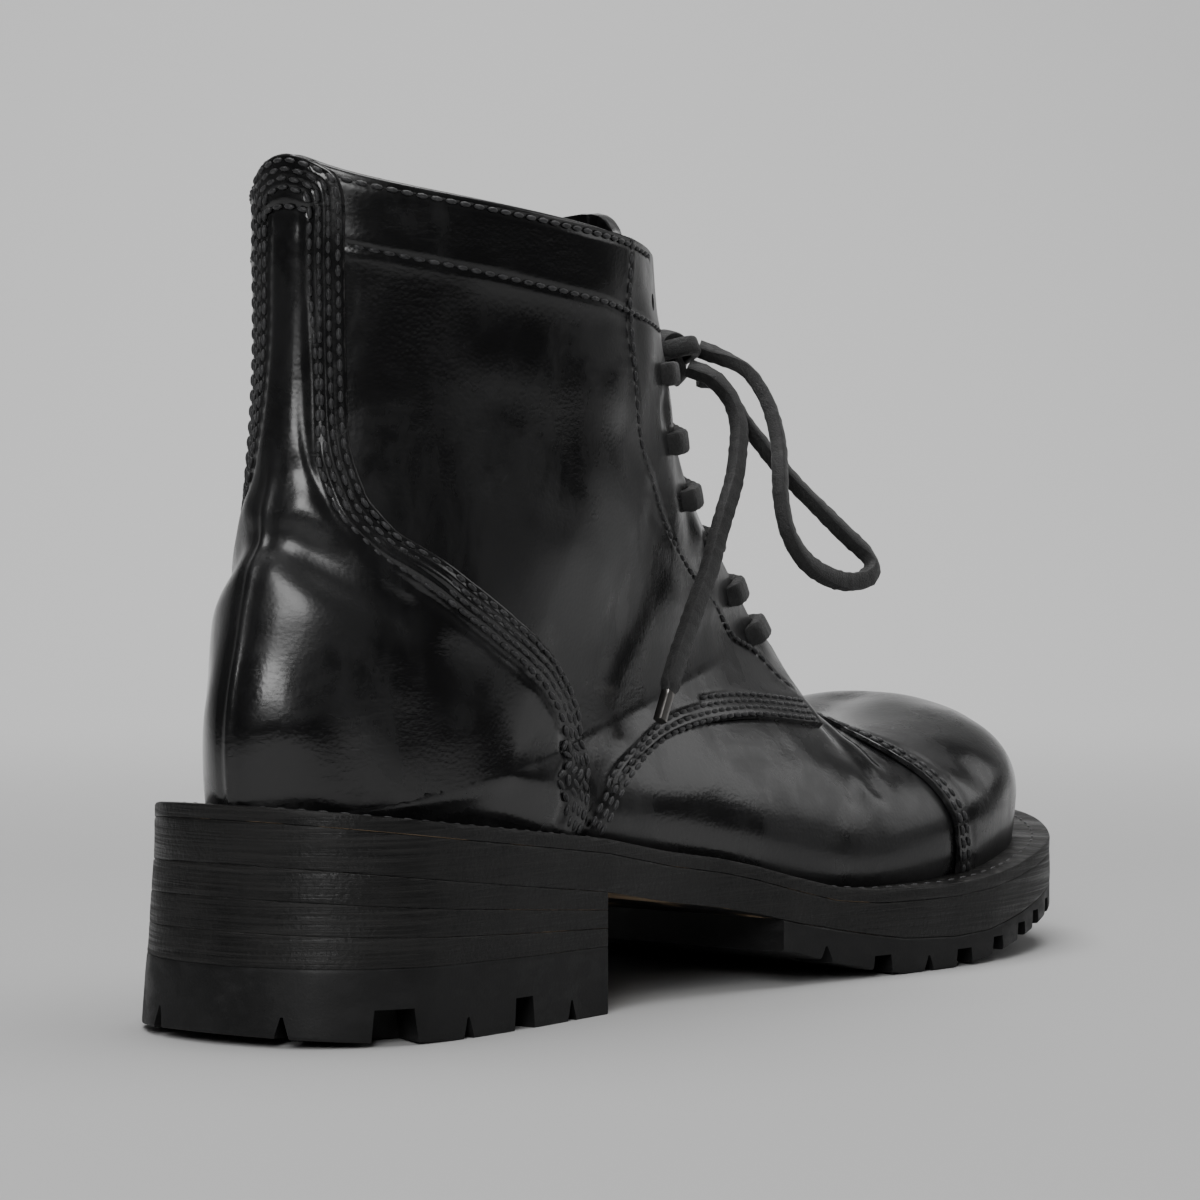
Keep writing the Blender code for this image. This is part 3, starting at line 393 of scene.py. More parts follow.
view = {
    "turn": 39.6,          # degrees from the boot's length to the line of sight
    "distance": 955,       # from the heel's middle, along the line of sight
    "side": 2.5,
    "height": 124,
    "lens": 132.4,
    "yaw": 3.56,           # aims at the boot's middle
    "down": 1.94,
}
ahead = np.array([cos(radians(view["turn"])), sin(radians(view["turn"])), 0])
right = np.array([ahead[1], -ahead[0], 0])


def link(name, data):
    thing = bpy.data.objects.new(name, data)
    bpy.context.scene.collection.objects.link(thing)
    return thing


def aimed(direction):
    # Angles that turn a camera or a light to look that way.
    return Vector(direction).to_track_quat("-Z", "Y").to_euler()


def addCamera():
    spot = np.array([42, 0, view["height"]]) - ahead * view["distance"] - right * view["side"]
    data = bpy.data.cameras.new("camera")
    data.lens = view["lens"]
    data.sensor_width = 36
    data.clip_start = 0.05
    camera = link("camera", data)
    yaw, down = radians(view["yaw"]), radians(view["down"])
    look = (ahead * cos(yaw) + right * sin(yaw)) * cos(down) - np.array([0, 0, sin(down)])
    camera.location = toWorld(spot)
    camera.rotation_euler = aimed(look)
    bpy.context.scene.camera = camera


addCamera()
print("camera set")


# Materials. The shared effects are node groups; each material mixes them for its own surface.
def addNode(tree, kind, settings=(), **values):
    node = tree.nodes.new(kind)
    for name, value in dict(settings).items():
        setattr(node, name, value)
    for name, value in values.items():
        socket = node.inputs[int(name[1:]) if name[0] == "_" else name.replace("_", " ")]
        if isinstance(value, bpy.types.NodeSocket):
            tree.links.new(value, socket)
        else:
            socket.default_value = value
    return node


def newGroup(name, inputs, outputs):
    tree = bpy.data.node_groups.new(name, "ShaderNodeTree")
    for label, kind, value in inputs:
        socket = tree.interface.new_socket(label, in_out="INPUT", socket_type=kind)
        if value is not None:
            socket.default_value = value
    for label, kind in outputs:
        tree.interface.new_socket(label, in_out="OUTPUT", socket_type=kind)
    return tree, tree.nodes.new("NodeGroupInput").outputs, tree.nodes.new("NodeGroupOutput").inputs


def stretched(tree, vector, scale):
    return addNode(tree, "ShaderNodeVectorMath", {"operation": "MULTIPLY"}, _0=vector, _1=scale).outputs[0]


def math(tree, operation, a, b=0.0, c=0.0, clamp=False):
    settings = {"operation": operation, "use_clamp": clamp}
    return addNode(tree, "ShaderNodeMath", settings, _0=a, _1=b, _2=c).outputs[0]


def spread(tree, value, low, high, toLow=0.0, toHigh=1.0):
    settings = {"interpolation_type": "SMOOTHSTEP"}
    node = addNode(tree, "ShaderNodeMapRange", settings, Value=value, From_Min=low, From_Max=high, To_Min=toLow,
                   To_Max=toHigh)
    return node.outputs[0]


def mixColour(tree, share, a, b):
    node = addNode(tree, "ShaderNodeMix", {"data_type": "RGBA"}, _0=share, _6=a, _7=b)
    return node.outputs[2]


def noise(tree, vector, scale, detail=3.0, rough=0.5, distortion=0.0):
    node = addNode(tree, "ShaderNodeTexNoise", (), Vector=vector, Scale=scale, Detail=detail, Roughness=rough,
                   Distortion=distortion)
    return node.outputs["Fac"]


vectorKind, floatKind = "NodeSocketVector", "NodeSocketFloat"


def grainGroup():
    # Fine pebbled grain and short wrinkles of polished leather.
    tree, start, end = newGroup("fine grain", [("Vector", vectorKind, None), ("Height", floatKind, 0.00002)],
                                [("Normal", vectorKind)])
    cells = addNode(tree, "ShaderNodeTexVoronoi", {"feature": "SMOOTH_F1"}, Vector=start["Vector"], Scale=1100.0,
                    Smoothness=0.6).outputs["Distance"]
    wrinkles = noise(tree, stretched(tree, start["Vector"], (1.0, 1.0, 2.6)), 210.0, 5.0, 0.62, 0.4)
    patches = spread(tree, noise(tree, start["Vector"], 38.0, 2.0), 0.38, 0.62)
    height = math(tree, "MULTIPLY_ADD", wrinkles, math(tree, "MULTIPLY", patches, 2.6), cells)
    bump = addNode(tree, "ShaderNodeBump", (), Height=height, Distance=start["Height"], Strength=1.0)
    tree.links.new(bump.outputs[0], end["Normal"])
    return tree


def cloudGroup():
    # Soft clouds of wax and rubbing: 0 where the polish is deep, 1 where it is dull.
    tree, start, end = newGroup("polish clouds", [("Vector", vectorKind, None), ("Scale", floatKind, 26.0)],
                                [("Dull", floatKind)])
    wide = noise(tree, start["Vector"], start["Scale"], 4.0, 0.6, 0.8)
    rubbed = noise(tree, stretched(tree, start["Vector"], (1.0, 1.0, 0.45)), 95.0, 4.0, 0.65, 0.5)
    both = math(tree, "MULTIPLY_ADD", rubbed, 0.45, wide)
    tree.links.new(spread(tree, both, 0.55, 0.92), end["Dull"])
    return tree


def wearAndHighlightGroup():
    # Rubbed edges, and the painted highlight down the heel counter's back seam: the marks on the points, broken up by
    # noise.
    tree, start, end = newGroup("edge wear and highlight", [("Vector", vectorKind, None), ("Wear", floatKind, 0.0)],
                                [("Mask", floatKind)])
    broken = noise(tree, start["Vector"], 330.0, 4.0, 0.6)
    tree.links.new(spread(tree, math(tree, "ADD", start["Wear"], broken), 0.95, 1.4), end["Mask"])
    return tree


def scuffGroup():
    # Short thin scratches in a few directions.
    tree, start, end = newGroup("scuffs", [("Vector", vectorKind, None)], [("Mask", floatKind)])
    lines = noise(tree, stretched(tree, start["Vector"], (90.0, 130.0, 900.0)), 1.0, 3.0, 0.5, 0.2)
    slant = addNode(tree, "ShaderNodeVectorRotate", {"rotation_type": "Y_AXIS"}, Vector=start["Vector"], Angle=0.9)
    more = noise(tree, stretched(tree, slant.outputs[0], (80.0, 110.0, 1000.0)), 1.0, 3.0, 0.5, 0.2)
    where = spread(tree, noise(tree, start["Vector"], 55.0, 2.0), 0.52, 0.7)
    either = math(tree, "MAXIMUM", spread(tree, lines, 0.66, 0.74), spread(tree, more, 0.68, 0.76))
    tree.links.new(math(tree, "MULTIPLY", either, where), end["Mask"])
    return tree


def facingUp(tree):
    # The height of the surface's normal: 1 where it faces up, -1 where it faces down.
    normal = addNode(tree, "ShaderNodeNewGeometry").outputs["Normal"]
    return addNode(tree, "ShaderNodeSeparateXYZ", (), _0=normal).outputs[2]


def dustGroup():
    # Fine dust that lies on what faces up.
    tree, start, end = newGroup("dust", [("Vector", vectorKind, None)], [("Mask", floatKind)])
    specks = spread(tree, noise(tree, start["Vector"], 420.0, 3.0, 0.7), 0.5, 0.75)
    tree.links.new(math(tree, "MULTIPLY", specks, spread(tree, facingUp(tree), 0.2, 0.95)), end["Mask"])
    return tree


groups = {"grain": grainGroup(), "clouds": cloudGroup(), "wear": wearAndHighlightGroup(), "scuffs": scuffGroup(),
          "dust": dustGroup()}


def newMaterial(name, colour, roughness):
    material = bpy.data.materials.new(name)
    material.use_nodes = True
    shader = material.node_tree.nodes["Principled BSDF"]
    shader.inputs["Base Color"].default_value = (*colour, 1)
    shader.inputs["Roughness"].default_value = roughness
    place = material.node_tree.nodes.new("ShaderNodeTexCoord").outputs["Object"]
    return material, material.node_tree, shader, place


def useGroup(tree, name, **values):
    return addNode(tree, "ShaderNodeGroup", {"node_tree": groups[name]}, **values).outputs[0]


def wornAndHighlightShare(tree, place):
    marked = addNode(tree, "ShaderNodeAttribute", {"attribute_name": "wear"}).outputs["Fac"]
    return useGroup(tree, "wear", Vector=place, Wear=marked)


def leatherMaterial(name, look):
    material, tree, shader, place = newMaterial(name, look["colour"], 0.2)
    dull = useGroup(tree, "clouds", Vector=place, Scale=look["cloud"])
    wornAndHighlight = wornAndHighlightShare(tree, place)
    scuffed = useGroup(tree, "scuffs", Vector=place)
    dusty = useGroup(tree, "dust", Vector=place)
    base = mixColour(tree, dull, (*look["colour"], 1), (*look["dullColour"], 1))
    # The worn colour also paints the highlight line down the heel counter's back seam.
    base = mixColour(tree, wornAndHighlight, base, (*look["wornAndHighlightColour"], 1))
    base = mixColour(tree, math(tree, "MULTIPLY", scuffed, 0.35), base, (0.05, 0.05, 0.05, 1))
    base = mixColour(tree, math(tree, "MULTIPLY", dusty, 0.05), base, (0.2, 0.19, 0.18, 1))
    rough = spread(tree, dull, 0.0, 1.0, *look["rough"])
    rough = math(tree, "MULTIPLY_ADD", wornAndHighlight, 0.18, rough)
    rough = math(tree, "MULTIPLY_ADD", scuffed, 0.12, rough, True)
    tree.links.new(base, shader.inputs["Base Color"])
    tree.links.new(rough, shader.inputs["Roughness"])
    normal = useGroup(tree, "grain", Vector=place, Height=look["grain"])
    tree.links.new(normal, shader.inputs["Normal"])
    shader.inputs["Coat Weight"].default_value = look["coat"]
    shader.inputs["Coat Roughness"].default_value = 0.16
    return material


polished = {
    "colour": (0.0035, 0.0035, 0.0038),
    "dullColour": (0.009, 0.009, 0.0095),
    # also the painted highlight down the heel counter's back seam
    "wornAndHighlightColour": (0.035, 0.034, 0.034),
    "rough": (0.2, 0.42),
    "cloud": 26.0,
    "grain": 0.00003,
    "coat": 0.22,
}
blackLeather = leatherMaterial("polished black leather", polished)
heelLook = dict(polished, rough=(0.15, 0.33), coat=0.3, grain=0.000022)
heelLeather = leatherMaterial("deeply polished black leather", heelLook)


def plainMaterial(name, look):
    # Matt stuff with streaks: sole edges, rubber, lining, laces and thread.
    material, tree, shader, place = newMaterial(name, look["colour"], look["rough"][0])
    streaks = noise(tree, stretched(tree, place, look["streak"]), 1.0, 5.0, 0.62, 0.15)
    dull = useGroup(tree, "clouds", Vector=place, Scale=look["cloud"])
    wornAndHighlight = wornAndHighlightShare(tree, place)
    dusty = useGroup(tree, "dust", Vector=place)
    base = mixColour(tree, spread(tree, streaks, *look["contrast"]), (*look["colour"], 1), (*look["streakColour"], 1))
    base = mixColour(tree, math(tree, "MULTIPLY", dull, 0.5), base, (*look["streakColour"], 1))
    base = mixColour(tree, wornAndHighlight, base, (*look["wornAndHighlightColour"], 1))
    base = mixColour(tree, math(tree, "MULTIPLY", dusty, look["dust"]), base, (0.22, 0.21, 0.2, 1))
    if look.get("rawBelow"):
        under = spread(tree, facingUp(tree), -0.6, -0.9)
        rubbed = spread(tree, noise(tree, stretched(tree, place, (34.0, 60.0, 60.0)), 1.0, 4.0, 0.6), 0.5, 0.62)
        base = mixColour(tree, math(tree, "MULTIPLY", under, rubbed), base, (*look["rawBelow"], 1))
    tree.links.new(base, shader.inputs["Base Color"])
    tree.links.new(spread(tree, streaks, 0.35, 0.65, *look["rough"]), shader.inputs["Roughness"])
    height = math(tree, "MULTIPLY_ADD", noise(tree, place, look["fine"], 3.0), 0.6, streaks)
    bump = addNode(tree, "ShaderNodeBump", (), Height=height, Distance=look["relief"], Strength=1.0)
    tree.links.new(bump.outputs[0], shader.inputs["Normal"])
    shader.inputs["Specular IOR Level"].default_value = look["gloss"]
    if look.get("fuzz"):
        shader.inputs["Sheen Weight"].default_value = look["fuzz"]
    return material


soleLook = {
    "colour": (0.0035, 0.0035, 0.0035),
    "streakColour": (0.018, 0.0175, 0.017),
    "wornAndHighlightColour": (0.07, 0.068, 0.065),
    "contrast": (0.46, 0.66),
    "streak": (26.0, 26.0, 1500.0),
    "cloud": 34.0,
    "rough": (0.34, 0.62),
    "fine": 900.0,
    "relief": 0.00028,
    "dust": 0.2,
    "rawBelow": (0.34, 0.24, 0.15),
    "gloss": 0.32,
}
soleLeather = plainMaterial("blacked sole leather", soleLook)
rubberLook = dict(soleLook, colour=(0.0065, 0.0065, 0.0067), streakColour=(0.013, 0.013, 0.0133), rough=(0.46, 0.64),
                  streak=(150.0, 150.0, 260.0), fine=1500.0, relief=0.00008, rawBelow=None)
rubberBlack = plainMaterial("black rubber", rubberLook)
liningLook = dict(rubberLook, colour=(0.02, 0.018, 0.016), streakColour=(0.04, 0.035, 0.03), rough=(0.5, 0.7),
                  fine=1800.0)
liningLeather = plainMaterial("lining leather", liningLook)
insoleLook = dict(liningLook, colour=(0.2, 0.13, 0.075), streakColour=(0.3, 0.2, 0.12))
insoleLeather = plainMaterial("insole leather", insoleLook)
laceLook = dict(rubberLook, colour=(0.008, 0.008, 0.0082), streakColour=(0.022, 0.022, 0.022), rough=(0.42, 0.62),
                streak=(1300.0, 1300.0, 1300.0), fine=3200.0, relief=0.00022, dust=0.1, fuzz=0.1)
laceBlack = plainMaterial("waxed black lace", laceLook)
threadLook = dict(laceLook, colour=(0.016, 0.016, 0.017), streakColour=(0.05, 0.05, 0.052), relief=0.00008,
                  rough=(0.3, 0.5))
threadBlack = plainMaterial("waxed black thread", threadLook)
tipMetal = newMaterial("lace tip metal", (0.25, 0.24, 0.23), 0.3)[0]
tipMetal.node_tree.nodes["Principled BSDF"].inputs["Metallic"].default_value = 1.0
print("materials done")


sharpAngle = radians(40)
mergeGap, leastEdge = 2e-6, 1e-7         # metres


def buildMesh(name, points, faces, materials, wear=None, inside=None):
    # points are in millimetres. Wear per point, 0 to 1, including the painted highlight on the heel counter's back
    # seam. inside: True for faces of the second material.
    mesh = bpy.data.meshes.new(name)
    mesh.from_pydata([tuple(p) for p in toWorld(points)], [], [tuple(int(v) for v in f) for f in faces])
    layer = mesh.attributes.new("wear", "FLOAT", "POINT")
    layer.data.foreach_set("value", np.zeros(len(points)) if wear is None else np.clip(wear, 0, 1).ravel())
    if inside is not None:
        mesh.polygons.foreach_set("material_index", np.asarray(inside, int))
    bm = bmesh.new()
    bm.from_mesh(mesh)
    bmesh.ops.remove_doubles(bm, verts=bm.verts, dist=mergeGap)
    bmesh.ops.dissolve_degenerate(bm, edges=bm.edges, dist=leastEdge)
    bmesh.ops.recalc_face_normals(bm, faces=bm.faces)
    if bm.calc_volume(signed=True) < 0:
        bmesh.ops.reverse_faces(bm, faces=bm.faces)
    markEdges(bm)
    bm.to_mesh(mesh)
    bm.free()
    piece = link(name, mesh)
    for material in materials if isinstance(materials, list) else [materials]:
        mesh.materials.append(material)
    return piece


def markEdges(bm):
    for edge in bm.edges:
        edge.smooth = len(edge.link_faces) != 2 or edge.calc_face_angle(0) < sharpAngle
    for face in bm.faces:
        face.smooth = True


def meshOf(name, bm):
    # Empties bm into a new mesh on an object of its own.
    mesh = bpy.data.meshes.new(name)
    bm.to_mesh(mesh)
    bm.free()
    return link(name, mesh)


def madeMesh(piece):
    # The piece's mesh with its modifiers run.
    return bpy.data.meshes.new_from_object(piece.evaluated_get(bpy.context.evaluated_depsgraph_get()))


def settle(piece, slot, *nodes):
    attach(piece, "root")
    if nodes:
        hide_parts(*nodes)
    return piece


def cutAway(piece, cutters):
    # Cuts the cutters' mesh out of the piece.
    change = piece.modifiers.new("cut", "BOOLEAN")
    change.operation, change.solver, change.object = "DIFFERENCE", "MANIFOLD", cutters
    mesh = madeMesh(piece)
    piece.modifiers.remove(change)
    piece.data = mesh
    bm = bmesh.new()
    bm.from_mesh(mesh)
    markEdges(bm)
    bm.to_mesh(mesh)
    bm.free()


def cutAll(cutters, *pieces):
    for piece in pieces:
        cutAway(piece, cutters)
    mesh = cutters.data
    bpy.data.objects.remove(cutters)
    bpy.data.meshes.remove(mesh)


def ringFaces(layers, count):
    # Faces between closed rings of count points, one after the other.
    i, j = np.meshgrid(np.arange(layers - 1) * count, np.arange(count), indexing="ij")
    k = (j + 1) % count
    ring = np.stack([i + j, i + k, i + count + k, i + count + j], axis=-1)
    return [tuple(face) for face in ring.reshape(-1, 4)]


def gridFaces(rows, columns, start=0, flip=False):
    i, j = np.meshgrid(np.arange(rows - 1), np.arange(columns - 1), indexing="ij")
    a = start + i * columns + j
    ring = np.stack([a, a + columns, a + columns + 1, a + 1], axis=-1).reshape(-1, 4)
    return ring[:, ::-1] if flip else ring


def joinEdges(line, shift):
    # Faces between a line of points and its like on the other grid.
    return np.stack([line[:-1], line[1:], line[1:] + shift, line[:-1] + shift], axis=1)


def closedSheet(name, outer, inner, materials, wear=None):
    # A wall between two grids of points of one size.
    rows, columns = outer.shape[:2]
    count = rows * columns
    faces = [gridFaces(rows, columns), gridFaces(rows, columns, count, True)]
    border = [(i, 0) for i in range(rows)] + [(rows - 1, j) for j in range(1, columns)]
    border += [(i, columns - 1) for i in range(rows - 2, -1, -1)] + [(0, j) for j in range(columns - 2, -1, -1)]
    faces.append(joinEdges(np.array([i * columns + j for i, j in border]), count))
    points = np.concatenate([outer.reshape(-1, 3), inner.reshape(-1, 3)])
    if wear is not None:
        wear = np.concatenate([wear.ravel(), wear.ravel()])
    return buildMesh(name, points, np.concatenate(faces), materials, wear)


# Laces: a flat waxed lace through the holes, tied in a bow.
lace = {
    "wide": 4.4,
    "thick": 2.2,
    "onFlap": 3.2,         # height of its middle over the vamp's level, on a flap
    "onTongue": -3.1,      # and on the tongue
    "tip": 8.0,            # length of the tube on its ends
}
corners = [(-1, -.35), (-.93, -.8), (-.72, -1), (0, -1), (.72, -1), (.93, -.8), (1, -.35), (1, .35), (.93, .8),
           (.72, 1), (0, 1.04), (-.72, 1), (-.93, .8), (-1, .35)]


def laceBand(points, ups, wide, thick):
    # Points and faces of a flat lace along points, with its flat side facing ups.
    points = np.asarray(points, float)
    wide, thick = (np.broadcast_to(np.asarray(v, float), len(points)) for v in (wide, thick))
    forward = unit(np.gradient(points, axis=0))
    across = unit(np.cross(forward, ups))
    up = np.cross(across, forward)
    rings = [points + across * (u * wide / 2)[:, None] + up * (v * thick / 2)[:, None] for u, v in corners]
    count, layers = len(corners), len(points)
    faces = ringFaces(layers, count)
    low, high, end = layers * count, layers * count + 1, (layers - 1) * count
    faces += [(low, (k + 1) % count, k) for k in range(count)]
    faces += [(high, end + k, end + (k + 1) % count) for k in range(count)]
    return np.concatenate([np.stack(rings, axis=1).reshape(-1, 3), points[:1], points[-1:]]), faces


knot = (162.5, -2.0, 146.5)
lateralLoop = [(167.5, -7.8, 148.2), (170.8, -12.5, 146), (172.8, -18, 142.9), (172.3, -23.5, 136.9),
               (170.4, -27.5, 130.9), (168, -30.5, 125), (164.8, -33, 119.1), (162.3, -35, 112.6),
               (161.6, -37.5, 104.8), (165.2, -39.5, 98.6), (172.6, -41, 94.6), (181.4, -42, 93),
               (188.3, -42.3, 94), (191.7, -41.5, 96.4), (191.6, -39.5, 99.5), (187.8, -36.5, 103.9),
               (183, -32.5, 109.9), (180, -28, 115.3), (177, -24.5, 120.4), (174, -21, 126.1),
               (172.1, -17.8, 130.9), (170.7, -15, 136.1), (168.8, -12.5, 140.3), (165, -9.6, 141.4)]
lateralEnd = [(160, -10.2, 143.5), (162.5, -15, 141.2), (164.5, -19, 136.3), (163, -22.5, 130), (159, -25, 123.5),
              (154.5, -27, 117), (149, -28.5, 110.5), (144, -29.5, 103.7), (138.5, -31, 96.5), (131.5, -32.5, 89.3),
              (125, -34, 82.3), (119, -35.5, 76), (114.5, -36.5, 70), (110.5, -37, 63.5)]
medialLoop = [(165.5, 4.5, 150), (170, 12, 152), (175, 21, 149), (179, 29, 141), (181, 34, 130), (181, 37, 121),
              (179, 38, 115), (176.5, 35.5, 119), (173, 28, 129), (169.5, 19, 138), (167, 11, 142), (165.5, 5.5, 142.5)]
medialEnd = [(161, 6.2, 144.5), (164.5, 13, 143), (163, 20, 136), (157, 26, 126), (149, 31.5, 115), (140, 35, 105),
             (131, 37.2, 95.5), (123, 38.5, 86)]


def everyStep(dense, step):
    # Distances along a line of points, and those wanted at even steps.
    run = lengthsOf(dense)
    return run, np.linspace(0, run[-1], int(run[-1] / step) + 1)


def freeLace(name, node, points, faceOut, tip):
    dense = smoothLine(points, 12)
    run, want = everyStep(dense, 1.2)
    path = readAt(want, run, dense)
    run = lengthsOf(path)
    ripple = 1 + 0.03 * np.sin(run * 2.1) + 0.03 * np.sin(run * 3.7)
    wide, thick = lace["wide"] * 0.97 * ripple, lace["thick"] * 1.5 * ripple
    onTip = run > (run[-1] - lace["tip"] if tip else run[-1])
    wide, thick = np.where(onTip, 2.7, wide), np.where(onTip, 2.5, thick)
    verts, faces = laceBand(path, np.broadcast_to(np.asarray(faceOut, float), path.shape), wide, thick)
    inside = [bool(onTip[min(min(face) // len(corners), len(run) - 1)]) for face in faces]
    piece = buildMesh(name, verts, faces, [laceBlack, tipMetal] if tip else laceBlack, inside=inside)
    settle(piece, "lace", node)


bow = [
    ("bow_loop_outer_side", "lace_loop_lateral", lateralLoop, (0.35, -0.9, 0.15), False),
    ("lace_end_outer_side", "lace_end_lateral", lateralEnd, (0.1, -0.95, 0.25), True),
    ("bow_loop_inner_side", "lace_loop_medial", medialLoop, (0.35, 0.9, 0.15), False),
    ("lace_end_inner_side", "lace_end_medial", medialEnd, (0.1, 0.95, 0.25), True),
]
for part in bow:
    freeLace(*part)


def joinParts(parts):
    points, faces, start = [], [], 0
    for verts, rings in parts:
        points.append(np.asarray(verts))
        faces += [tuple(v + start for v in ring) for ring in rings]
        start += len(verts)
    return np.concatenate(points), faces


def eyeletPlace(section, side):
    # Section and turn of a hole, a little way in from the throat's edge.
    turns = np.linspace(0, 0.35, 400) + turnAt(section, halfGap(section), side)
    points = skin(np.full(400, float(section)), side * turns)
    return section, side * float(np.interp(eyeletInset, lengthsOf(points), turns))


def overFlap(section, side):
    # Out of a hole and over the flap to its edge.
    edge, hole = float(turnAt(section, halfGap(section), side)), abs(eyeletPlace(section, side)[1])
    start = [(section, side * (hole + 0.002), -2.8), (section, side * (hole + 0.001), 0.6),
             (section, side * (hole - 0.004), lace["onFlap"] - 0.5)]
    return start + [(section, side * (edge + (hole - edge) * share), lace["onFlap"] - drop)
                    for share, drop in ((0.72, 0.05), (0.4, 0.0), (0.1, 0.3))]


def crossStrand(low, high, side, lift):
    # Out of the hole at low on one side and across the throat, under the other flap.
    route, rest = overFlap(low, side), lace["onTongue"]
    for share, offset in ((-0.9, 0.9), (-0.7, -1.6), (-0.45, -2.8), (-0.2, rest), (0, rest), (0.25, rest), (0.6, -3.2),
                          (0.9, -3.2)):
        section = low + (high - low) * (share + 1) / 2
        here = -side if share > 0 else side
        across = here * float(turnAt(section, abs(share) * halfGap(section), here))
        route.append((section, across, offset + lift * max(0, 1 - abs(share) * 1.2)))
    return route


def routeBand(route, bothEnds=False):
    route = np.array(route, float)
    dense = smoothLine(skinOf(route, route[:, 2]), 8)
    facing = smoothLine(normalOf(route), 8)
    run, want = everyStep(dense, 0.8)
    path, ups = readAt(want, run, dense), readAt(want, run, facing)
    inHole = np.clip(want / 5.5, 0, 1) * (np.clip((run[-1] - want) / 5.5, 0, 1) if bothEnds else 1)
    swell = (0.6 + 0.4 * inHole) * (1 + 0.03 * np.sin(want * 2.3))
    return laceBand(path, ups, lace["wide"] * 1.22 * swell, lace["thick"] * 1.45 * (1 + 0.03 * np.sin(want * 2.3)))


def addLacing():
    rows = eyeletSections[:0:-1]
    for i, (low, high) in enumerate(zip(rows, rows[1:]), start=1):
        strands = [routeBand(crossStrand(low, high, side, lift)) for side, lift in ((-1, 2.1), (1, 0.0))]
        settle(buildMesh(f"crossed_laces_{i}", *joinParts(strands), laceBlack), "lace", f"lace_cross_{i}")
    bars = [("lowest_lace_bar", "lace_bar_bottom", rows[0]), ("top_lace_bar", "lace_bar_top", rows[-1])]
    for name, node, section in bars:
        halves = []
        for side in (-1, 1):
            middle = [(section, side * float(turnAt(section, halfGap(section) * share, side)), offset)
                      for share, offset in ((0.9, 0.9), (0.7, -1.4), (0.35, -2.7))]
            halves.append(overFlap(section, side) + middle)
        settle(buildMesh(name, *routeBand(halves[0] + halves[1][::-1], True), laceBlack), "lace", node)


addLacing()


def addKnot():
    # A tight trefoil, facing out from the front, with a wrap across it.
    u = np.linspace(0, 2 * pi, 90)
    shape = np.stack([np.sin(u) + 2 * np.sin(2 * u), np.cos(u) - 2 * np.cos(2 * u), -np.sin(3 * u)], axis=1)
    out = unit([0.72, -0.1, 0.68])
    side = unit(np.cross((0, 0, 1.0), out))
    high = np.cross(out, side)
    path = np.array(knot) + side * shape[:, :1] * 2.9 + high * shape[:, 1:2] * 1.9 + out * shape[:, 2:] * 2.8
    parts = [laceBand(path, path - np.array(knot) + out * 2, 4.4, 2.9)]
    u = np.linspace(0, 2 * pi, 60)[:-3]
    wrap = np.array(knot) + high * (np.sin(u) * 4.6)[:, None] + out * (np.cos(u) * 4.2 + 0.4)[:, None]
    wrap = wrap + side * (np.linspace(-1.2, 1.2, len(u)))[:, None]
    parts.append(laceBand(wrap, wrap - np.array(knot), 5.2, 2.6))
    settle(buildMesh("bow_knot", *joinParts(parts), laceBlack), "lace", "lace_knot")


addKnot()
print("laces done")


# Stitches: short threads set on marked points, along the rows of every seam.
stitch = {"long": 2.7, "wide": 1.15, "pitch": 3.3}


def stitchTree():
    tree = bpy.data.node_groups.new("stitch rows", "GeometryNodeTree")
    tree.interface.new_socket("Geometry", in_out="INPUT", socket_type="NodeSocketGeometry")
    for label in ("Stitch Length", "Stitch Width"):
        tree.interface.new_socket(label, in_out="INPUT", socket_type="NodeSocketFloat")
    tree.interface.new_socket("Thread", in_out="INPUT", socket_type="NodeSocketMaterial")
    tree.interface.new_socket("Geometry", in_out="OUTPUT", socket_type="NodeSocketGeometry")
    given = tree.nodes.new("NodeGroupInput").outputs
    ball = addNode(tree, "GeometryNodeMeshUVSphere", (), Segments=8, Rings=6, Radius=0.5)
    smooth = addNode(tree, "GeometryNodeSetShadeSmooth", (), Geometry=ball.outputs["Mesh"])
    wide = given["Stitch Width"]
    size = addNode(tree, "ShaderNodeCombineXYZ", (), _0=given["Stitch Length"], _1=wide, _2=wide)
    facing = addNode(tree, "GeometryNodeInputNamedAttribute", {"data_type": "FLOAT_VECTOR"}, Name="facing")
    points = addNode(tree, "GeometryNodeMeshToPoints", (), Mesh=given["Geometry"])
    rows = addNode(tree, "GeometryNodeInstanceOnPoints", (), Points=points.outputs[0], Instance=smooth.outputs[0],
                   Rotation=facing.outputs[0], Scale=size.outputs[0])
    real = addNode(tree, "GeometryNodeRealizeInstances", (), _0=rows.outputs[0])
    done = addNode(tree, "GeometryNodeSetMaterial", (), Geometry=real.outputs[0], Material=given["Thread"])
    tree.links.new(done.outputs[0], tree.nodes.new("NodeGroupOutput").inputs["Geometry"])
    return tree


stitchRows = stitchTree()


def stitchesAlong(points, normals, pitch=stitch["pitch"]):
    # Middle and turning angles of each stitch along a line of points in millimetres.
    run = lengthsOf(points)
    count = max(1, int(run[-1] / pitch))
    middles = (np.arange(count) + 0.5) * run[-1] / count
    out = []
    for middle in middles:
        place, before, after = readAt([middle, middle - 0.7, middle + 0.7], run, points)
        up = readAt([middle], run, normals)[0]
        along = unit(after - before)
        up = unit(up - along * (up @ along))
        turned = Matrix(np.stack([along, np.cross(up, along), up], axis=1).tolist())
        out.append((place, turned.to_euler()))
    return out


def seamStitches(lines, offset):
    out = []
    for line in lines:
        out += stitchesAlong(skinOf(line, offset), normalOf(line))
    return out


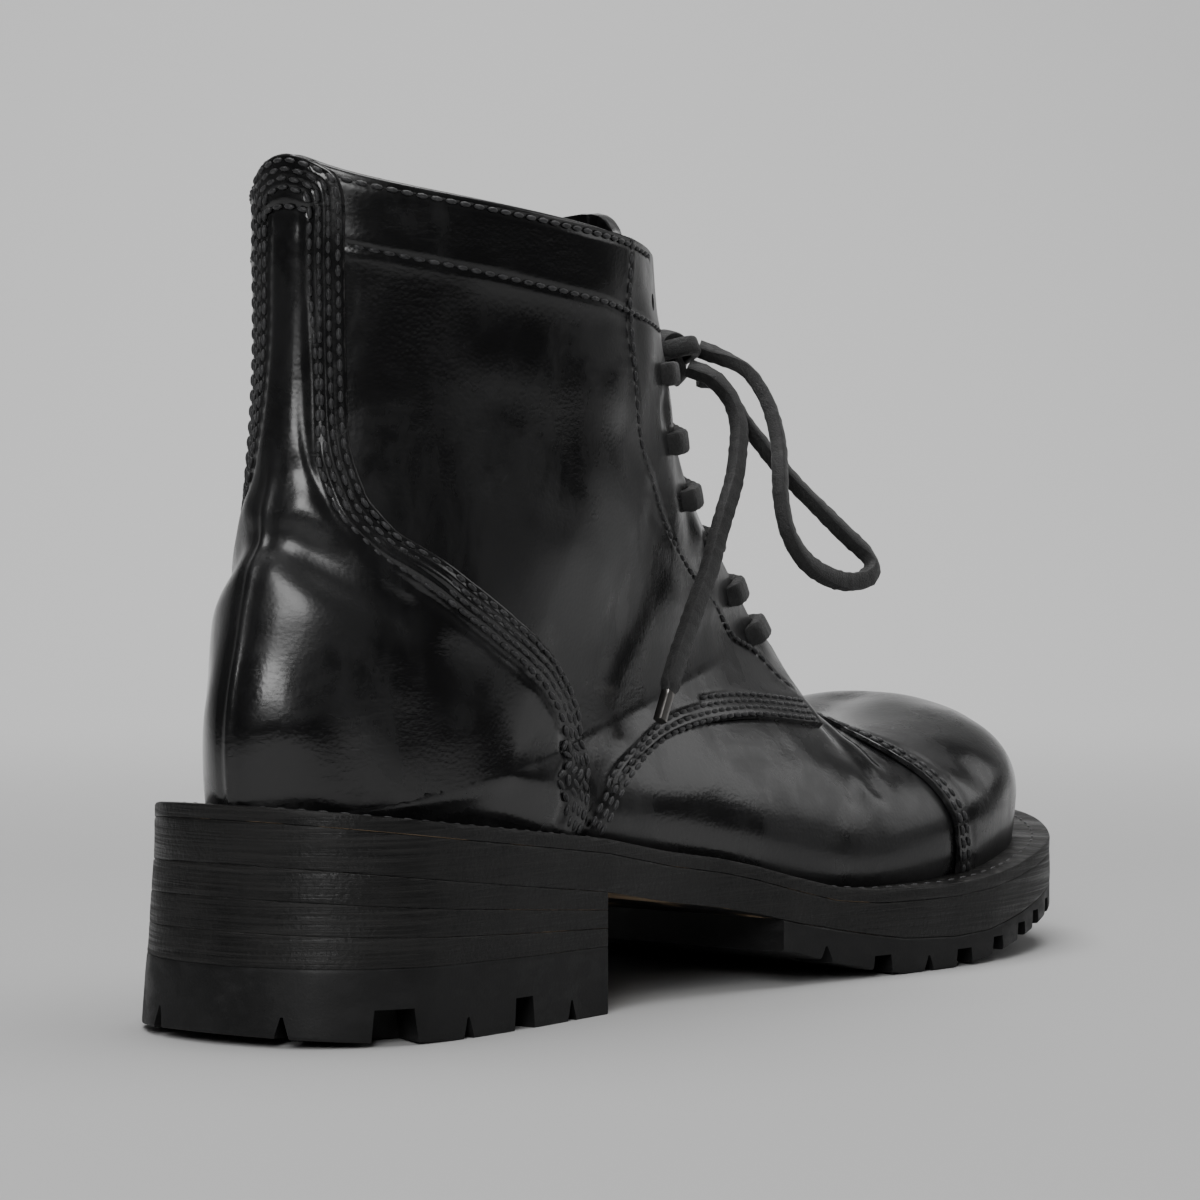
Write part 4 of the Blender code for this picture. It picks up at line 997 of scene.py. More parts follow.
def addStitches(name, places, long=stitch["long"], wide=stitch["wide"]):
    mesh = bpy.data.meshes.new(name)
    mesh.from_pydata([tuple(toWorld(place)) for place, _ in places], [], [])
    layer = mesh.attributes.new("facing", "FLOAT_VECTOR", "POINT")
    layer.data.foreach_set("vector", np.array([tuple(angles) for _, angles in places]).ravel())
    piece = link(name, mesh)
    change = piece.modifiers.new("stitches", "NODES")
    change.node_group = stitchRows
    values = {"Stitch Length": long * mm, "Stitch Width": wide * mm, "Thread": threadBlack}
    for item in stitchRows.interface.items_tree:
        if item.in_out == "INPUT" and item.name in values:
            change[item.identifier] = values[item.name]
    made = madeMesh(piece)
    piece.modifiers.remove(change)
    piece.data = made
    bpy.data.meshes.remove(mesh)
    return settle(piece, "lace")


# Leather pieces of the upper.
def spreadAlong(line, count, marks):
    # count points along a line of section and turn: at the marks' distances from both ends, and even between.
    run = lengthsOf(skinOf(line, 1.0))
    total = max(run[-1], 0.1)
    marks = np.array(marks)
    if marks[-1] > 0.4 * total:
        marks = marks * 0.4 * total / marks[-1]
    middle = np.linspace(marks[-1], total - marks[-1], count - 2 * len(marks) + 2)[1:-1]
    want = np.concatenate([marks, middle, total - marks[::-1]])
    return readAt(want, run, line)


def fitGrid(grid, rows, columns, rowMarks, columnMarks):
    # A coarse grid of section and turn, spread again so that its lines stand at the marks from the edges.
    fine = np.stack([spreadAlong(line, columns, columnMarks) for line in grid])
    return np.stack([spreadAlong(fine[:, j], rows, rowMarks) for j in range(columns)], axis=1)


def evenly(line, count):
    return readAt(np.linspace(0, 1, count), np.linspace(0, 1, len(line)), line)


def ruledGrid(left, rightLine, foot):
    # Straight rows from one line to the other; towards the foot they take up its bend.
    steps = 150
    left, rightLine, foot = (evenly(line, steps) for line in (left, rightLine, foot))
    along = np.linspace(0, 1, steps)[:, None]
    bulge = foot - (foot[0] + (foot[-1] - foot[0]) * along)
    rows = zip(left, rightLine, np.linspace(0, 1, steps))
    return np.stack([start + (end - start) * along + bulge * share ** 3 for start, end, share in rows])


edgeMarks = [0, 0.12, 0.35, 0.7, 1.2, 2.0, 3.0]


def softly(distance, width):
    # 1 at no distance, falling away softly over the width.
    return np.exp(-(distance / width) ** 2)


def edgeDrop(distance, radius):
    inside = np.clip(1 - np.maximum(distance, 0) / radius, 0, 1)
    return radius * (1 - np.sqrt(1 - inside ** 2))


def footTurn(section, side):
    # The turn where a section meets the welt's top.
    turns = np.linspace(0.5, 1, 120)
    points = skin(np.full(120, float(section)), side * turns, 0.0)
    below = np.nonzero(points[:, 2] - rim(points[:, 0]) + underWelt < 0)[0]
    return side * (turns[below[0]] if len(below) else 1.0)


def waves(points, size, height, seed):
    # Slow unevenness of hand-lasted leather.
    draw = np.random.default_rng(seed)
    total = np.zeros(points.shape[:-1])
    for _ in range(8):
        way = draw.normal(size=3)
        length = size * draw.uniform(0.6, 1.7)
        total += np.sin(points @ way / np.linalg.norm(way) * 2 * pi / length + draw.uniform(0, 6.3))
    return total * height / 3


def troughs(lines, points, depth, width):
    total = np.zeros(points.shape[:-1])
    for line in lines:
        total -= depth * softly(distanceTo(line, points), width)
    return total


# Creases and folds: points in side view, depth (a ridge if below zero) and half width.
vampCreases = [
    ([(207, 71), (203, 62), (199, 52), (196, 43)], 0.9, 2.6),
    ([(211, 68), (208.5, 58), (206, 49)], 0.6, 2.2),
    ([(201, 60), (194, 50), (186, 42)], 0.7, 2.8),
    ([(192, 52), (180, 47), (168, 45)], 0.6, 3.5),
    ([(205, 52), (199, 45), (191, 38)], -0.5, 3.0),
    ([(170, 54), (152, 50), (136, 48)], 0.5, 4.0),
]
quarterCreases = [
    ([(139, 128), (146, 117), (158, 108), (168, 104)], 1.0, 4.2),
    ([(126, 133), (136, 122), (141, 108)], 0.8, 4.5),
    ([(150, 131), (148, 120), (151, 106)], -0.7, 4.0),
    ([(118, 110), (132, 100), (148, 95)], 0.7, 5.0),
    ([(100, 128), (112, 112), (122, 96)], 0.5, 6.0),
    ([(58, 154), (80, 150), (104, 152)], 0.5, 6.0),
    ([(60, 120), (72, 106), (90, 96)], -0.6, 6.5),
    ([(150, 84), (166, 80), (182, 78)], 0.45, 4.0),
    ([(88, 176), (98, 160), (102, 140)], 0.4, 5.0),
]
counterCreases = [
    ([(20, 104), (26, 96), (36, 90)], 0.9, 4.0),
    ([(24, 112), (33, 103), (44, 97)], -0.5, 3.6),
    ([(16, 92), (24, 84), (36, 78)], -0.4, 6.0),
    ([(40, 82), (52, 72), (62, 60)], 0.35, 6.0),
    ([(18, 72), (22, 62), (24, 54)], 0.3, 4.5),
]


def creases(folds, points, side):
    total = np.zeros(points.shape[:-1])
    for places, depth, width in folds:
        away = distanceTo(sideLine(places, side), points)
        total += depth * (0.4 * softly(away - 1.9 * width, width) - softly(away, width))
    return total


upper = {"rows": 250, "columns": 84}


def addUpper():
    rows, columns = upper["rows"], upper["columns"]
    sections = np.concatenate([[1, 1.01, 1.03, 1.06], np.linspace(1.1, 24, rows - 8), [24.25, 24.5, 24.8, 25]])
    shares = np.concatenate([[0, .004, .012], np.linspace(.025, .93, columns - 8), [.95, .965, .98, .99, 1]])
    outer, inner, wear, faces, count = [], [], [], [], 0
    halves = []
    for side in (-1, 1):
        start = np.where(sections < throatEnd, turnAt(sections, halfGap(sections), side), 0)
        end = np.array([abs(footTurn(s, side)) if s > heelRow else 1.0 for s in sections])
        turns = side * (start[:, None] + (end - start)[:, None] * shares[None, :])
        s = np.broadcast_to(sections[:, None], turns.shape)
        ground = skin(s, turns)
        fade = np.clip((ground[..., 0] - 130) / 30, 0, 1) * np.clip((232 - ground[..., 0]) / 12, 0, 1)
        relief = (0.5 * creases(vampCreases, ground, side) + waves(ground, 38, 0.13, 3)) * fade
        relief -= edgeDrop((sections - 1) * sectionStep, 1.0)[:, None]
        halves.append((turns, relief))
        inner.append(skin(s, turns, -wall))
        wear.append(0.35 * softly(ground[..., 2] - rim(ground[..., 0]), 1.6))
        faces.append(gridFaces(*s.shape, count, side > 0))
        count += s.size
    middle = np.mean([relief[:, 0] for _, relief in halves], axis=0)     # both halves meet on this along the ridge
    for turns, relief in halves:
        share = softly(turns, 0.06) * (sections >= throatEnd)[:, None]
        outer.append(skin(s, turns, relief + share * (middle - relief[:, 0])[:, None]))
    size = rows * columns
    faces += [gridFaces(rows, columns, count + k * size, side < 0) for k, side in enumerate((-1, 1))]
    inside = [False] * (len(faces[0]) * 2) + [True] * (len(faces[0]) * 2)
    for k in (0, 1):
        closed, heel = np.argmax(sections >= throatEnd), np.argmax(sections > heelRow) - 1
        borders = [[i * columns for i in range(closed + 1)], list(range(columns)),
                   [i * columns + columns - 1 for i in range(heel, rows)]]
        for line in borders:
            faces.append(joinEdges(np.array(line) + k * size, 2 * size))
            inside += [False] * (len(line) - 1)
    points = np.concatenate([grid.reshape(-1, 3) for grid in outer + inner])
    wear = np.concatenate([grid.ravel() for grid in wear + wear])
    piece = buildMesh("vamp_and_lining", points, np.concatenate(faces), [blackLeather, liningLeather], wear, inside)
    return settle(piece, "leather", "upper")


vamp = addUpper()
print("upper done")

counterSeam = [(1, .94), (1.05, .91), (1.2, .895), (2, .89), (3, .885), (4, .865), (4.6, .83)]     # section and turn
counterFoot = [(38, 106), (60, 89), (76, 78), (85, 67), (87, 54), (82, 34)]      # and on from the bend by x and z
quarterFoot = [(195.5, 57.3), (185, 58.3), (160, 60.5), (135, 59.5), (118, 56.5), (106, 51.5), (98, 46), (92, 38.6)]
rowsAt = (1.3, 3.2, 5.1, 7.0)          # stitch rows of a band, from its edge


def seamOf(line, side):
    return respace(smoothLine(line, 10) * (1, side))


def cutAtWelt(line):
    points = skinOf(line)
    above = points[:, 2] > rim(points[:, 0]) - underWelt
    return line[:np.argmin(above)] if not above.all() else line


counter = {"thick": 2.9, "base": 0.3, "rows": 196, "columns": 108, "roll": 1.0}
counterLine = respace(np.concatenate([seamOf(counterSeam, -1), sideLine(counterFoot, -1)]))
counterEdge = {side: cutAtWelt(counterLine * (1, -side)) for side in (-1, 1)}


def addCounter():
    back = respace(np.stack([np.linspace(1, 9, 200), np.full(200, 1.0)], axis=1))
    spine = spreadAlong(back, counter["rows"], edgeMarks) * (1, -1)
    halves = []
    for side in (-1, 1):
        edge = counterEdge[side] * (1, side)
        foot = np.array([(s, abs(footTurn(s, side))) for s in np.linspace(edge[-1, 0], 9.05, 60)] + [(9, 1.0)])
        foot[0] = edge[-1]
        fitted = fitGrid(ruledGrid(edge, back, foot), counter["rows"], counter["columns"], edgeMarks, edgeMarks)
        fitted[..., 1] = -fitted[..., 1] if side < 0 else fitted[..., 1] - 2
        fitted[:, -1] = spine
        halves.append(fitted)
    fitted = np.concatenate([halves[0], halves[1][:, -2::-1]], axis=1)
    top = acrossAt(1.0, -.95, -1.05, 9)
    whole = respace(np.concatenate([counterEdge[-1][::-1], top, (counterEdge[1] - (0, 2))]), 0.7)
    rows = [besideLine(whole, distance) for distance in rowsAt]
    rows.append(respace(acrossAt(1 + 8.9 / sectionStep, -.945, -1.055, 40)))
    ground = skinOf(fitted)
    away, high = distanceTo(whole, ground), (fitted[..., 0] - 1) * sectionStep
    centre = np.abs(1 - np.abs(fitted[..., 1])) * 140
    shaft = np.clip((ground[..., 2] - 112) / 14, 0, 1)
    relief = troughs(rows, ground, 0.42, 0.75) + 0.25 * softly(away - 4.2, 3.4)
    relief -= 0.45 * softly(away - 8.6, 1.3) * np.clip((high - 8) / 3, 0, 1)
    relief += shaft * 0.6 * softly(centre, 6.5) * np.clip((high - 10) / 4, 0, 1)
    relief += (1 - shaft) * (0.35 * softly(centre, 1.3) - 0.22 * softly(centre - 2.8, 1.4))
    relief += creases(counterCreases, ground, -1) + creases(counterCreases, ground, 1) + waves(ground, 26, 0.13, 5)
    thick = counter["base"] + counter["thick"] - 0.3
    outer = skinOf(fitted, thick + relief - edgeDrop(away, counter["roll"]))
    inner = skinOf(fitted, np.where(away < 3.6, 1.75, counter["base"]))
    # Rubbed band edges, plus a painted highlight: a lighter line down the back seam's ridge, low on the heel.
    wear = 0.7 * softly(away, 0.7) + 0.5 * softly(centre, 1.2) * np.clip((75 - ground[..., 2]) / 15, 0, 1)
    settle(closedSheet("heel_counter_and_backstay", outer, inner, heelLeather, wear), "leather", "heel_counter")
    addStitches("backstay_stitches", seamStitches(rows, thick - 0.05))


addCounter()
print("counter done")

quarter = {"thick": 1.3, "base": 0.3, "rows": 208, "columns": 176, "roll": 0.65}
eyestay = [(1.0, .403), (1.91, .414), (3.82, .381), (5.16, .314), (6.66, .247), (8.07, .197), (10.36, .161),
           (12.9, .176)]
holeSize, punchDepth = 4.0, 9.0


def holePunch(side):
    bm, radius = bmesh.new(), holeSize * mm / 2
    for section in eyeletSections:
        place = eyeletPlace(section, side)
        middle, normal = skin(*place), lastNormal(*place)
        turned = Vector(normal).to_track_quat("Z", "Y").to_matrix().to_4x4()
        bmesh.ops.create_cone(bm, cap_ends=True, segments=24, radius1=radius, radius2=radius, depth=punchDepth * mm,
                              matrix=Matrix.Translation(Vector(toWorld(middle))) @ turned)
    return meshOf("punch", bm)


def addQuarter(side, name, node):
    back = besideLine(counterEdge[side], side * 2.2)
    sections = np.linspace(1, 11.5, 240)
    throatLine = np.stack([sections, side * turnAt(sections, halfGap(sections), side)], axis=1)
    points = skinOf(throatLine, 1.6)
    stop = np.argmax(points[:, 0] > 197.5)
    corner = onSkin([(198.9, 76), (198.4, 72), (197, 67), (196.2, 61), (195.5, 57.3)], side)
    front = respace(np.concatenate([throatLine[:stop], corner]), 1.0)
    foot = sideLine(quarterFoot, side)
    fitted = fitGrid(ruledGrid(front, back, foot), quarter["rows"], quarter["columns"], edgeMarks, edgeMarks)
    ground = skinOf(fitted)
    awayFront, awayFoot = distanceTo(front, ground), distanceTo(foot, ground)
    high = (fitted[..., 0] - 1) * sectionStep
    hem = respace(acrossAt(1.11, .9, .31, 60) * (1, side))
    collarRow = seamOf([(1.75, .93), (1.8, .75), (1.9, .6), (2, .45), (2.2, .25)], side)
    facing = seamOf(eyestay, side)
    band = [besideLine(foot, side * distance)[3:] for distance in rowsAt]
    lines = [hem, collarRow, facing] + band
    relief = troughs(lines, ground, 0.38, 0.75) + 0.22 * softly(awayFoot - 4.1, 3.2)
    relief -= troughs([collarRow], ground, 0.25, 2.6) + troughs([facing], ground, 0.2, 2.6)
    folds = 0.75 * creases(quarterCreases, ground, side)
    folds += waves(ground, 46, 0.26, 7 + side) + waves(ground, 17, 0.05, 12 + side)
    calm = np.clip((awayFoot - 6) / 6, 0, 1) * np.clip(awayFront / 8, 0.25, 1) * np.clip(high / 14, 0.2, 1)
    awayEdge = np.minimum(awayFront, awayFoot)
    relief += folds * calm - edgeDrop(awayEdge, quarter["roll"]) - edgeDrop(high, quarter["roll"])
    low = quarter["base"] + quarter["thick"]
    outer = skinOf(fitted, np.maximum(low + relief, quarter["base"] + 0.3))
    inner = skinOf(fitted, quarter["base"] - 0.15)
    wear = 0.7 * softly(awayEdge, 0.6) + 0.7 * softly(high, 0.6)
    sheet = closedSheet(name, outer, inner, blackLeather, wear)
    cutAll(holePunch(side), sheet, vamp)
    settle(sheet, "leather", node)
    addStitches(name + "_stitches", seamStitches(lines, low - 0.1))


addQuarter(-1, "outer_quarter", "quarter_lateral")
addQuarter(1, "inner_quarter", "quarter_medial")
print("quarters done")

lastCapRow = 24.9      # the cap's relief ends just before the toe's pole
toeCap = {"thick": 1.4, "base": 0.3, "rows": 130, "columns": 190, "roll": 0.7}
capSeam = [(212.5, 60), (213.5, 54), (215, 48), (217, 40), (219.5, 30), (222, 20)]
toeDents = [([(226, 58), (238, 61), (250, 62)], 0.35, 6.0), ([(262, 58), (272, 50), (280, 42)], 0.3, 6.0),
            ([(232, 46), (240, 40), (250, 36)], 0.35, 5.0)]


def addToeCap():
    lines = {side: cutAtWelt(sideLine(capSeam, side)) for side in (-1, 1)}
    half = {side: np.concatenate([[[lines[side][0, 0], 0.0]], lines[side]]) for side in lines}
    edge = respace(np.concatenate([half[-1][::-1], half[1][1:]]), 1.0)
    along = np.linspace(14, lastCapRow, 60)
    ends = np.array([[abs(footTurn(s, side)) for side in (-1, 1)] for s in along])
    grid = []
    for share in np.linspace(0, 1, 90):
        section = edge[:, 0] + (24.97 - edge[:, 0]) * share
        outerSide = edge[:, 1] < 0
        reach = np.where(outerSide, np.interp(section, along, ends[:, 0]), np.interp(section, along, ends[:, 1]))
        home = np.where(outerSide, np.abs(edge[0, 1]), edge[-1, 1])
        grid.append(np.stack([section, edge[:, 1] / home * reach], axis=1))
    fitted = fitGrid(np.stack(grid), toeCap["rows"], toeCap["columns"], edgeMarks, [0, 0.5, 1.2, 2.5])
    ground = skinOf(fitted)
    away = distanceTo(edge, ground)
    rows = [besideLine(edge, -distance) for distance in (1.6, 3.9)]
    relief = troughs(rows, ground, 0.4, 0.75) - 0.35 * softly(away - 6.2, 1.1)
    relief += creases(toeDents, ground, -1) + creases(toeDents, ground, 1) + waves(ground, 30, 0.14, 21)
    low = toeCap["base"] + toeCap["thick"]
    calm = np.clip((lastCapRow - fitted[..., 0]) / 2, 0, 1)
    outer = skinOf(fitted, low + relief * calm - edgeDrop(away, toeCap["roll"]))
    inner = skinOf(fitted, toeCap["base"])
    wear = 0.6 * softly(away, 0.6) + 0.35 * np.clip((ground[..., 0] - 278) / 10, 0, 1)
    settle(closedSheet("toe_cap_leather", outer, inner, blackLeather, wear), "leather", "toe_cap")
    addStitches("toe_cap_stitches", seamStitches(rows, low - 0.1))


addToeCap()
print("toe cap done")

tongue = {
    "outer": -4.6,
    "thick": 2.2,
    "widths": [(0.35, 3), (0.38, 7), (0.45, 11), (0.6, 16), (0.85, 21), (1.3, 25.5), (3, 27.5), (6, 24), (9, 20),
               (12, 17), (14, 13), (15, 10)],
}


def addTongue():
    sections = np.concatenate([np.linspace(0.35, 1.5, 30), np.linspace(1.6, 15, 90)])
    shares = np.concatenate([[-1, -.985, -.95], np.linspace(-.9, .9, 61), [.95, .985, 1]])
    half = np.interp(sections, *zip(*tongue["widths"]))
    turns = np.stack([np.sign(u) * turnAt(sections, abs(u) * half, 1 if u > 0 else -1) for u in shares], axis=1)
    s = np.broadcast_to(sections[:, None], turns.shape)
    thin = edgeDrop((1 - np.abs(shares)) * 22, 1.0)[None, :] * 0.9
    relief = waves(skin(s, turns), 24, 0.35, 31)
    outer = skin(s, turns, tongue["outer"] - thin + relief * 0.6)
    inner = skin(s, turns, tongue["outer"] - tongue["thick"] + thin + relief * 0.6)
    settle(closedSheet("tongue_leather", outer, inner, blackLeather), "leather", "tongue")


addTongue()
print("tongue done")

# The sole: a welt, a midsole, a stacked heel and a rubber half sole.
heelBreast, halfSoleBack = 88.0, 150.0
seamGap = 0.05                  # between the layers, so that the seams are only faint lines
heelShrink = 4.0
heelRoll = (45.0, 2.2)
coreInset = 19.0
weltThick = 3.3
# Each notch: x, width, height, and the share of the width that its top keeps.
heelNotches = [(2.5, 4, 4.5, 0), (19, 10.5, 7, .8), (38, 4, 4.5, 0), (56.5, 6.5, 7, .8), (74, 4, 4.5, 0)]
treadNotches = [(165, 6, 3.6, 0), (183, 6, 4, .8), (198, 5, 3.8, 0), (212, 6, 4, .8), (226, 5, 4, .7),
                (238, 5, 4, .7), (249, 5, 4, .7), (260, 5, 4, .7), (271, 5, 4, .7), (281, 5, 4, .7), (291, 5, 4, .7)]
notchDepth = 11.0


def evenLoop(loop, count):
    loop = np.roll(loop, -loop[:, 0].argmin(), axis=0)
    closed = np.vstack([loop, loop[:1]])
    run = lengthsOf(closed)
    want = np.linspace(0, run[-1], count, endpoint=False)
    return readAt(want, run, closed)


outline = evenLoop(edgeLoop, 560)


def heelInset(x):
    return heelShrink * np.clip(1 - np.asarray(x) / 60.0, 0, 1) ** 1.5


def rungs(first, last, base, cycle):
    # Faces between the two halves of a loop that run from point first to point last.
    faces = []
    while last - first > 1:
        ring = [first, first + 1, last - 1, last]
        faces.append(tuple(base + v % cycle for v in (ring if last - first > 2 else ring[:2] + ring[3:])))
        first, last = first + 1, last - 1
    return faces


def edgeWear(rings):
    # Rubbed most at the outer corners of a layer.
    share = np.linspace(0, 1, len(rings))[:, None]
    return 0.25 * (softly(share, 0.12) + softly(1 - share, 0.12)) * np.ones((1, len(rings[0])))


def rough(loop, height, seed):
    # Small unevenness of a trimmed edge, in and out along the loop.
    points = np.column_stack([loop, height * 3.0])
    return waves(points, 24, 0.12, 41) + waves(points, 7, 0.035, seed)


def wholeRing(inset, height, seed=41):
    xy = insetLoop(outline, heelInset(outline[:, 0]) + inset)
    z = height(xy[:, 0])
    return np.column_stack([insetLoop(xy, rough(xy, z, seed)), z])


def wholePlate(name, rings, material, hole=False):
    rings = np.stack(rings)
    layers, count = rings.shape[:2]
    faces = ringFaces(layers, count)
    if hole:
        last = (layers - 1) * count
        faces += [(j, last + j, last + (j + 1) % count, (j + 1) % count) for j in range(count)]
    else:
        for base in (0, (layers - 1) * count):
            faces += rungs(0, count, base, count)
    return buildMesh(name, rings.reshape(-1, 3), faces, material, edgeWear(rings))


curvePoints, straightParts = 301, 60


def partLoop(inset, xFrom=None, xTo=None):
    # The outline's part behind xTo or in front of xFrom: a curve, and the straight line that closes it.
    loop = evenLoop(insetLoop(edgeLoop, inset), 960)
    keep = loop[:, 0] <= xTo if xTo is not None else loop[:, 0] >= xFrom
    start = np.nonzero(~keep)[0][-1] + 1 if xTo is not None else 0
    run = np.roll(loop, -start, axis=0)[np.roll(keep, -start)]
    end = xTo if xTo is not None else xFrom
    run = np.vstack([(end, run[0, 1]), run, (end, run[-1, 1])])
    length = lengthsOf(run)
    curve = readAt(np.linspace(0, length[-1], curvePoints), length, run)
    straight = np.linspace(curve[-1], curve[0], straightParts + 1)[1:-1]
    return curve, straight


def partPlate(name, rings, material):
    rings = np.stack(rings)
    layers, count = rings.shape[:2]
    faces = ringFaces(layers, count)
    for base in (0, (layers - 1) * count):
        faces += rungs(0, curvePoints - 1, base, count)
        faces.append(tuple(base + v for v in [*range(curvePoints - 1, count), 0]))
    return buildMesh(name, rings.reshape(-1, 3), faces, material, edgeWear(rings))


def addWelt():
    def under(drop):
        return lambda x: rim(x) - drop

    def between(share):
        return lambda x: rim(x) - weltThick + share * (seam(x) + weltThick - rim(x))

    low = weltThick - seamGap
    profile = [(coreInset, 0), (6, 0), (0.8, 0), (0.25, 0.2), (0, 0.7), (0, 1.5), (0, low - 0.5), (0.05, low - 0.1),
               (0.25, low), (coreInset, low)]
    rings = [wholeRing(inset, under(drop)) for inset, drop in profile]
    settle(wholePlate("welt_strip", rings, soleLeather, hole=True), "sole_leather", "welt")
    shares = (0.0, 0.03, 0.08, 0.25, 0.5, 0.75, 0.92, 0.97, 1.0)
    insets = (0.2, 0.05, 0, 0, 0, 0, 0, 0.05, 0.2)
    rings = [wholeRing(inset, between(share), 51) for share, inset in zip(shares, insets)]
    settle(wholePlate("midsole_layer", rings, soleLeather), "sole_leather", "midsole")
    rings = [wholeRing(coreInset + 0.3, under(drop)) for drop in (0.2, 3)]
    settle(wholePlate("insole_board", rings, insoleLeather), "insole_leather", "insole")
    loop = insetLoop(outline, heelInset(outline[:, 0]) + 4.4)
    line = np.column_stack([loop, rim(loop[:, 0]) - 0.1])
    addStitches("welt_stitches", stitchesAlong(line, np.tile([0, 0, 1.0], (len(line), 1)), 4.6), 2.6, 0.75)


addWelt()


liftProfile = [(0, 0.16), (0.02, 0.04), (0.06, 0), (0.25, 0), (0.5, 0), (0.75, 0), (0.94, 0), (0.98, 0.04), (1, 0.16)]


def heelLayer(name, node, material, slot, high, low, flareHigh, flareLow, seed):
    rings = []
    for share, inset in liftProfile:
        flare = flareHigh + (flareLow - flareHigh) * share
        curve, straight = partLoop(inset, xTo=heelBreast)
        towards = unit(np.array([60.0, 0.0]) - curve)
        z = high(curve[:, 0]) + (low(curve[:, 0]) - high(curve[:, 0])) * share
        curve = curve + towards * (heelInset(curve[:, 0]) * flare + rough(curve, z, seed) * (curve[:, 0] < 86))[:, None]
        loop = np.vstack([curve, straight])
        z = high(loop[:, 0]) + (low(loop[:, 0]) - high(loop[:, 0])) * share
        rings.append(np.column_stack([loop, z]))
    return settle(partPlate(name, rings, material), slot, node)


def notchCutters(notches, floor):
    # Wedges or blocks set square to both edges, from just outside it to a little way in.
    bm = bmesh.new()
    for side in (-1, 1):
        for x, width, height, share in notches:
            run = [i for i in range(len(edgeLoop)) if edgeLoop[i, 1] * side > 0 or abs(edgeLoop[i, 1]) < 6]
            at = min(run, key=lambda i: abs(edgeLoop[i, 0] - x))
            along = unit(edgeLoop[(at + 1) % len(edgeLoop)] - edgeLoop[at - 1])
            inwards = np.array([-along[1], along[0]])
            mouth, crown = width / 2 + 0.6, width / 2 * share + 0.3
            foot, top = floor(x) - 3, floor(x) + height
            rings = []
            for reach in (-6.0, notchDepth):
                places = [(*(edgeLoop[at] + inwards * reach + along * u), z)
                          for u, z in ((-mouth, foot), (mouth, foot), (crown, top), (-crown, top))]
                rings.append([bm.verts.new(Vector(toWorld(place))) for place in places])
            bm.faces.new(rings[0])
            bm.faces.new(rings[1][::-1])
            for i in range(4):
                k = (i + 1) % 4
                bm.faces.new((rings[0][i], rings[1][i], rings[1][k], rings[0][k]))
    bmesh.ops.recalc_face_normals(bm, faces=bm.faces)
    return meshOf("notches", bm)


def addHeel():
    def lift(share, gap=0.0):
        return lambda x: tread(x) + share * (seam(x) - tread(x)) - gap

    def floor(x):
        return heelRoll[1] * np.clip(1 - x / heelRoll[0], 0, 1) ** 2

    for i in range(3):
        low, high = i / 3, (i + 1) / 3
        heelLayer(f"stacked_lift_{i + 1}", f"heel_lift_{i + 1}", soleLeather, "sole_leather",
                  lift(high, seamGap), lift(low), 0.4 + 0.6 * high, 0.4 + 0.6 * low, 61 + i)
    top = heelLayer("rubber_top_lift", "heel_top_lift", rubberBlack, "rubber", lift(0, seamGap), floor, 0.4, 0.0, 71)
    cutAll(notchCutters(heelNotches, floor), top)


addHeel()


def addHalfSole():
    rings = []
    for share, inset in ((0, 0.4), (0.03, 0.1), (0.08, 0), (0.5, 0), (0.9, 0), (0.97, 0.2), (1, 0.7)):
        curve, straight = partLoop(inset, xFrom=halfSoleBack)
        loop = np.vstack([curve, straight])
        high, low = seam(loop[:, 0]) - seamGap, tread(loop[:, 0])
        rings.append(np.column_stack([loop, high + (low - high) * share]))
    piece = settle(partPlate("rubber_half_sole", rings, rubberBlack), "rubber", "outsole")
    cutAll(notchCutters(treadNotches, tread), piece)


addHalfSole()
print("sole done")

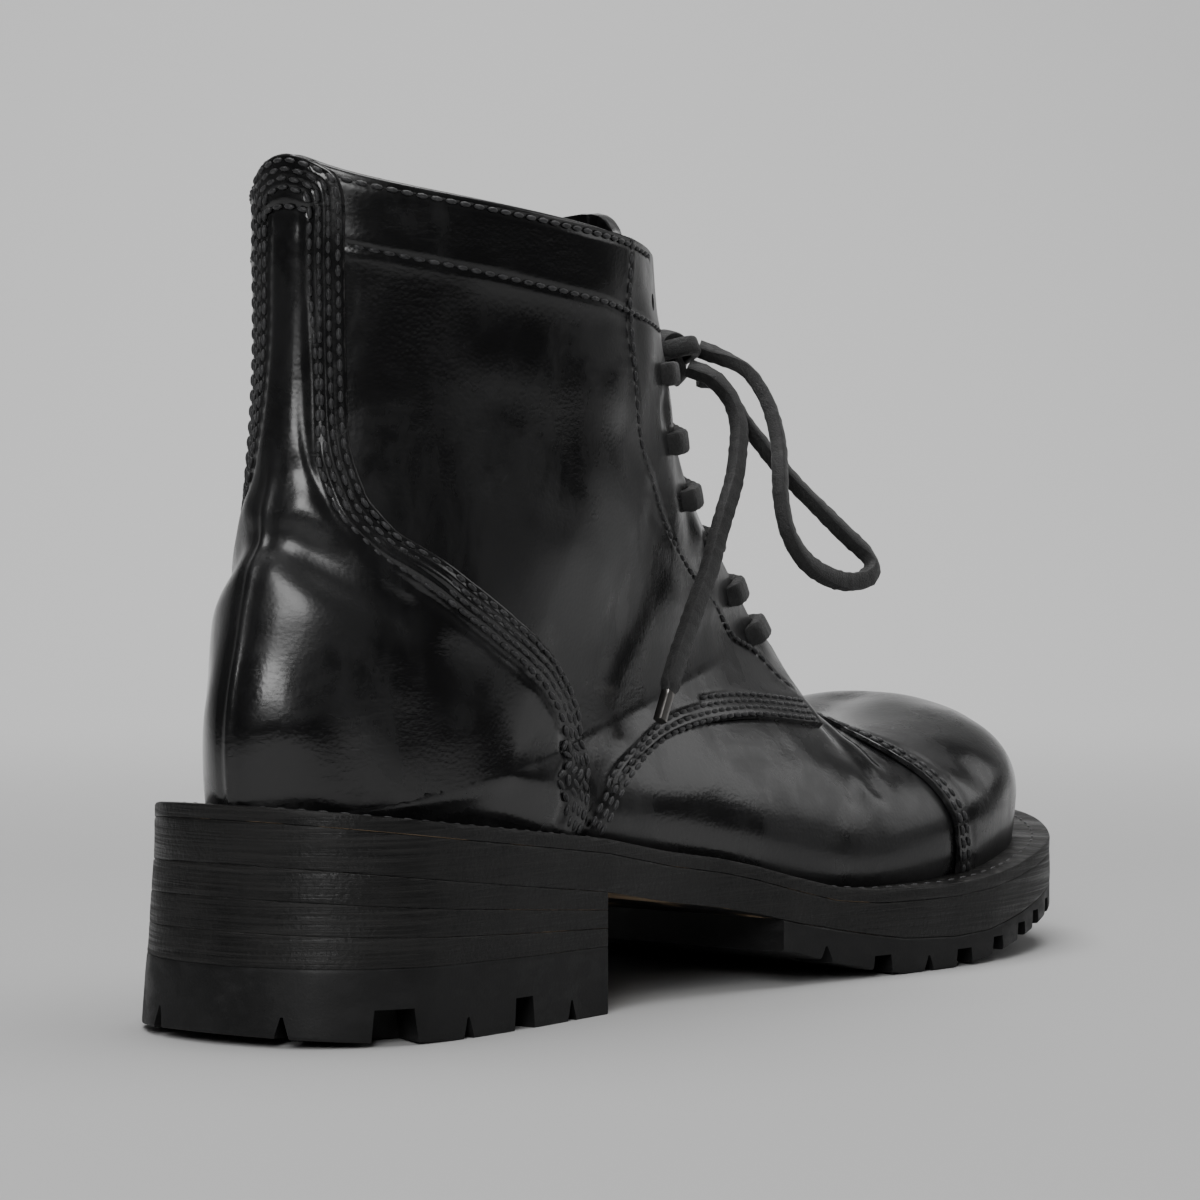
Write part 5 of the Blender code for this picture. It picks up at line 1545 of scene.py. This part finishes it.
studio = {
    "world": (0.11, 0.04),     # the room's light from above and from below the horizon
    "floor": 0.5,
    "back": 1.1,               # metres from the boot to where the floor turns up
}


def addLight(name, offset, target, size, power):
    # offset: ahead, right and up from the boot's middle, in metres
    data = bpy.data.lights.new(name, "AREA")
    data.shape = "RECTANGLE"
    data.size, data.size_y = size
    data.energy = power
    light = link(name, data)
    place, aim = (Vector(ahead * a + right * b) + Vector((0, 0, c)) for a, b, c in (offset, target))
    light.location = place
    light.rotation_euler = aimed(aim - place)


def addStudio():
    world = bpy.data.worlds.new("studio")
    bpy.context.scene.world = world
    world.use_nodes = True
    tree = world.node_tree
    way = addNode(tree, "ShaderNodeSeparateXYZ", (), _0=tree.nodes.new("ShaderNodeTexCoord").outputs["Generated"])
    high, low = studio["world"]
    strength = spread(tree, way.outputs[2], -0.1, 0.5, low, high)
    tree.links.new(strength, tree.nodes["Background"].inputs["Strength"])
    tree.nodes["Background"].inputs["Color"].default_value = (1, 1, 1, 1)
    addLight("overhead softbox", (0.2, 0.0, 1.6), (0, 0, 0.1), (1.5, 1.1), 26)
    addLight("left softbox", (-1.3, -0.34, 0.85), (0, 0, 0.08), (0.6, 0.8), 11)
    addLight("right softbox", (0.45, 1.5, 0.95), (0, 0, 0.08), (1.2, 1.0), 4.2)
    addLight("backdrop light", (0.9, 0, 0.9), (2.0, 0, 0.15), (1.4, 0.4), 12)
    # A floor that curves up into the backdrop.
    profile = [(-2.5, 0.0)] + [(studio["back"] + 0.8 * sin(a), 0.8 - 0.8 * cos(a)) for a in np.linspace(0, pi / 2, 24)]
    profile.append((studio["back"] + 0.8, 3.0))
    points = [Vector(ahead * d + right * s) + Vector((0, 0, z)) for d, z in profile for s in (-3.0, 3.0)]
    mesh = bpy.data.meshes.new("floor")
    mesh.from_pydata(points, [], [(2 * i, 2 * i + 1, 2 * i + 3, 2 * i + 2) for i in range(len(profile) - 1)])
    mesh.polygons.foreach_set("use_smooth", [True] * len(mesh.polygons))
    floor = link("floor", mesh)
    mesh.materials.append(newMaterial("pale paper", (studio["floor"],) * 3, 0.85)[0])


addStudio()
print("studio done")
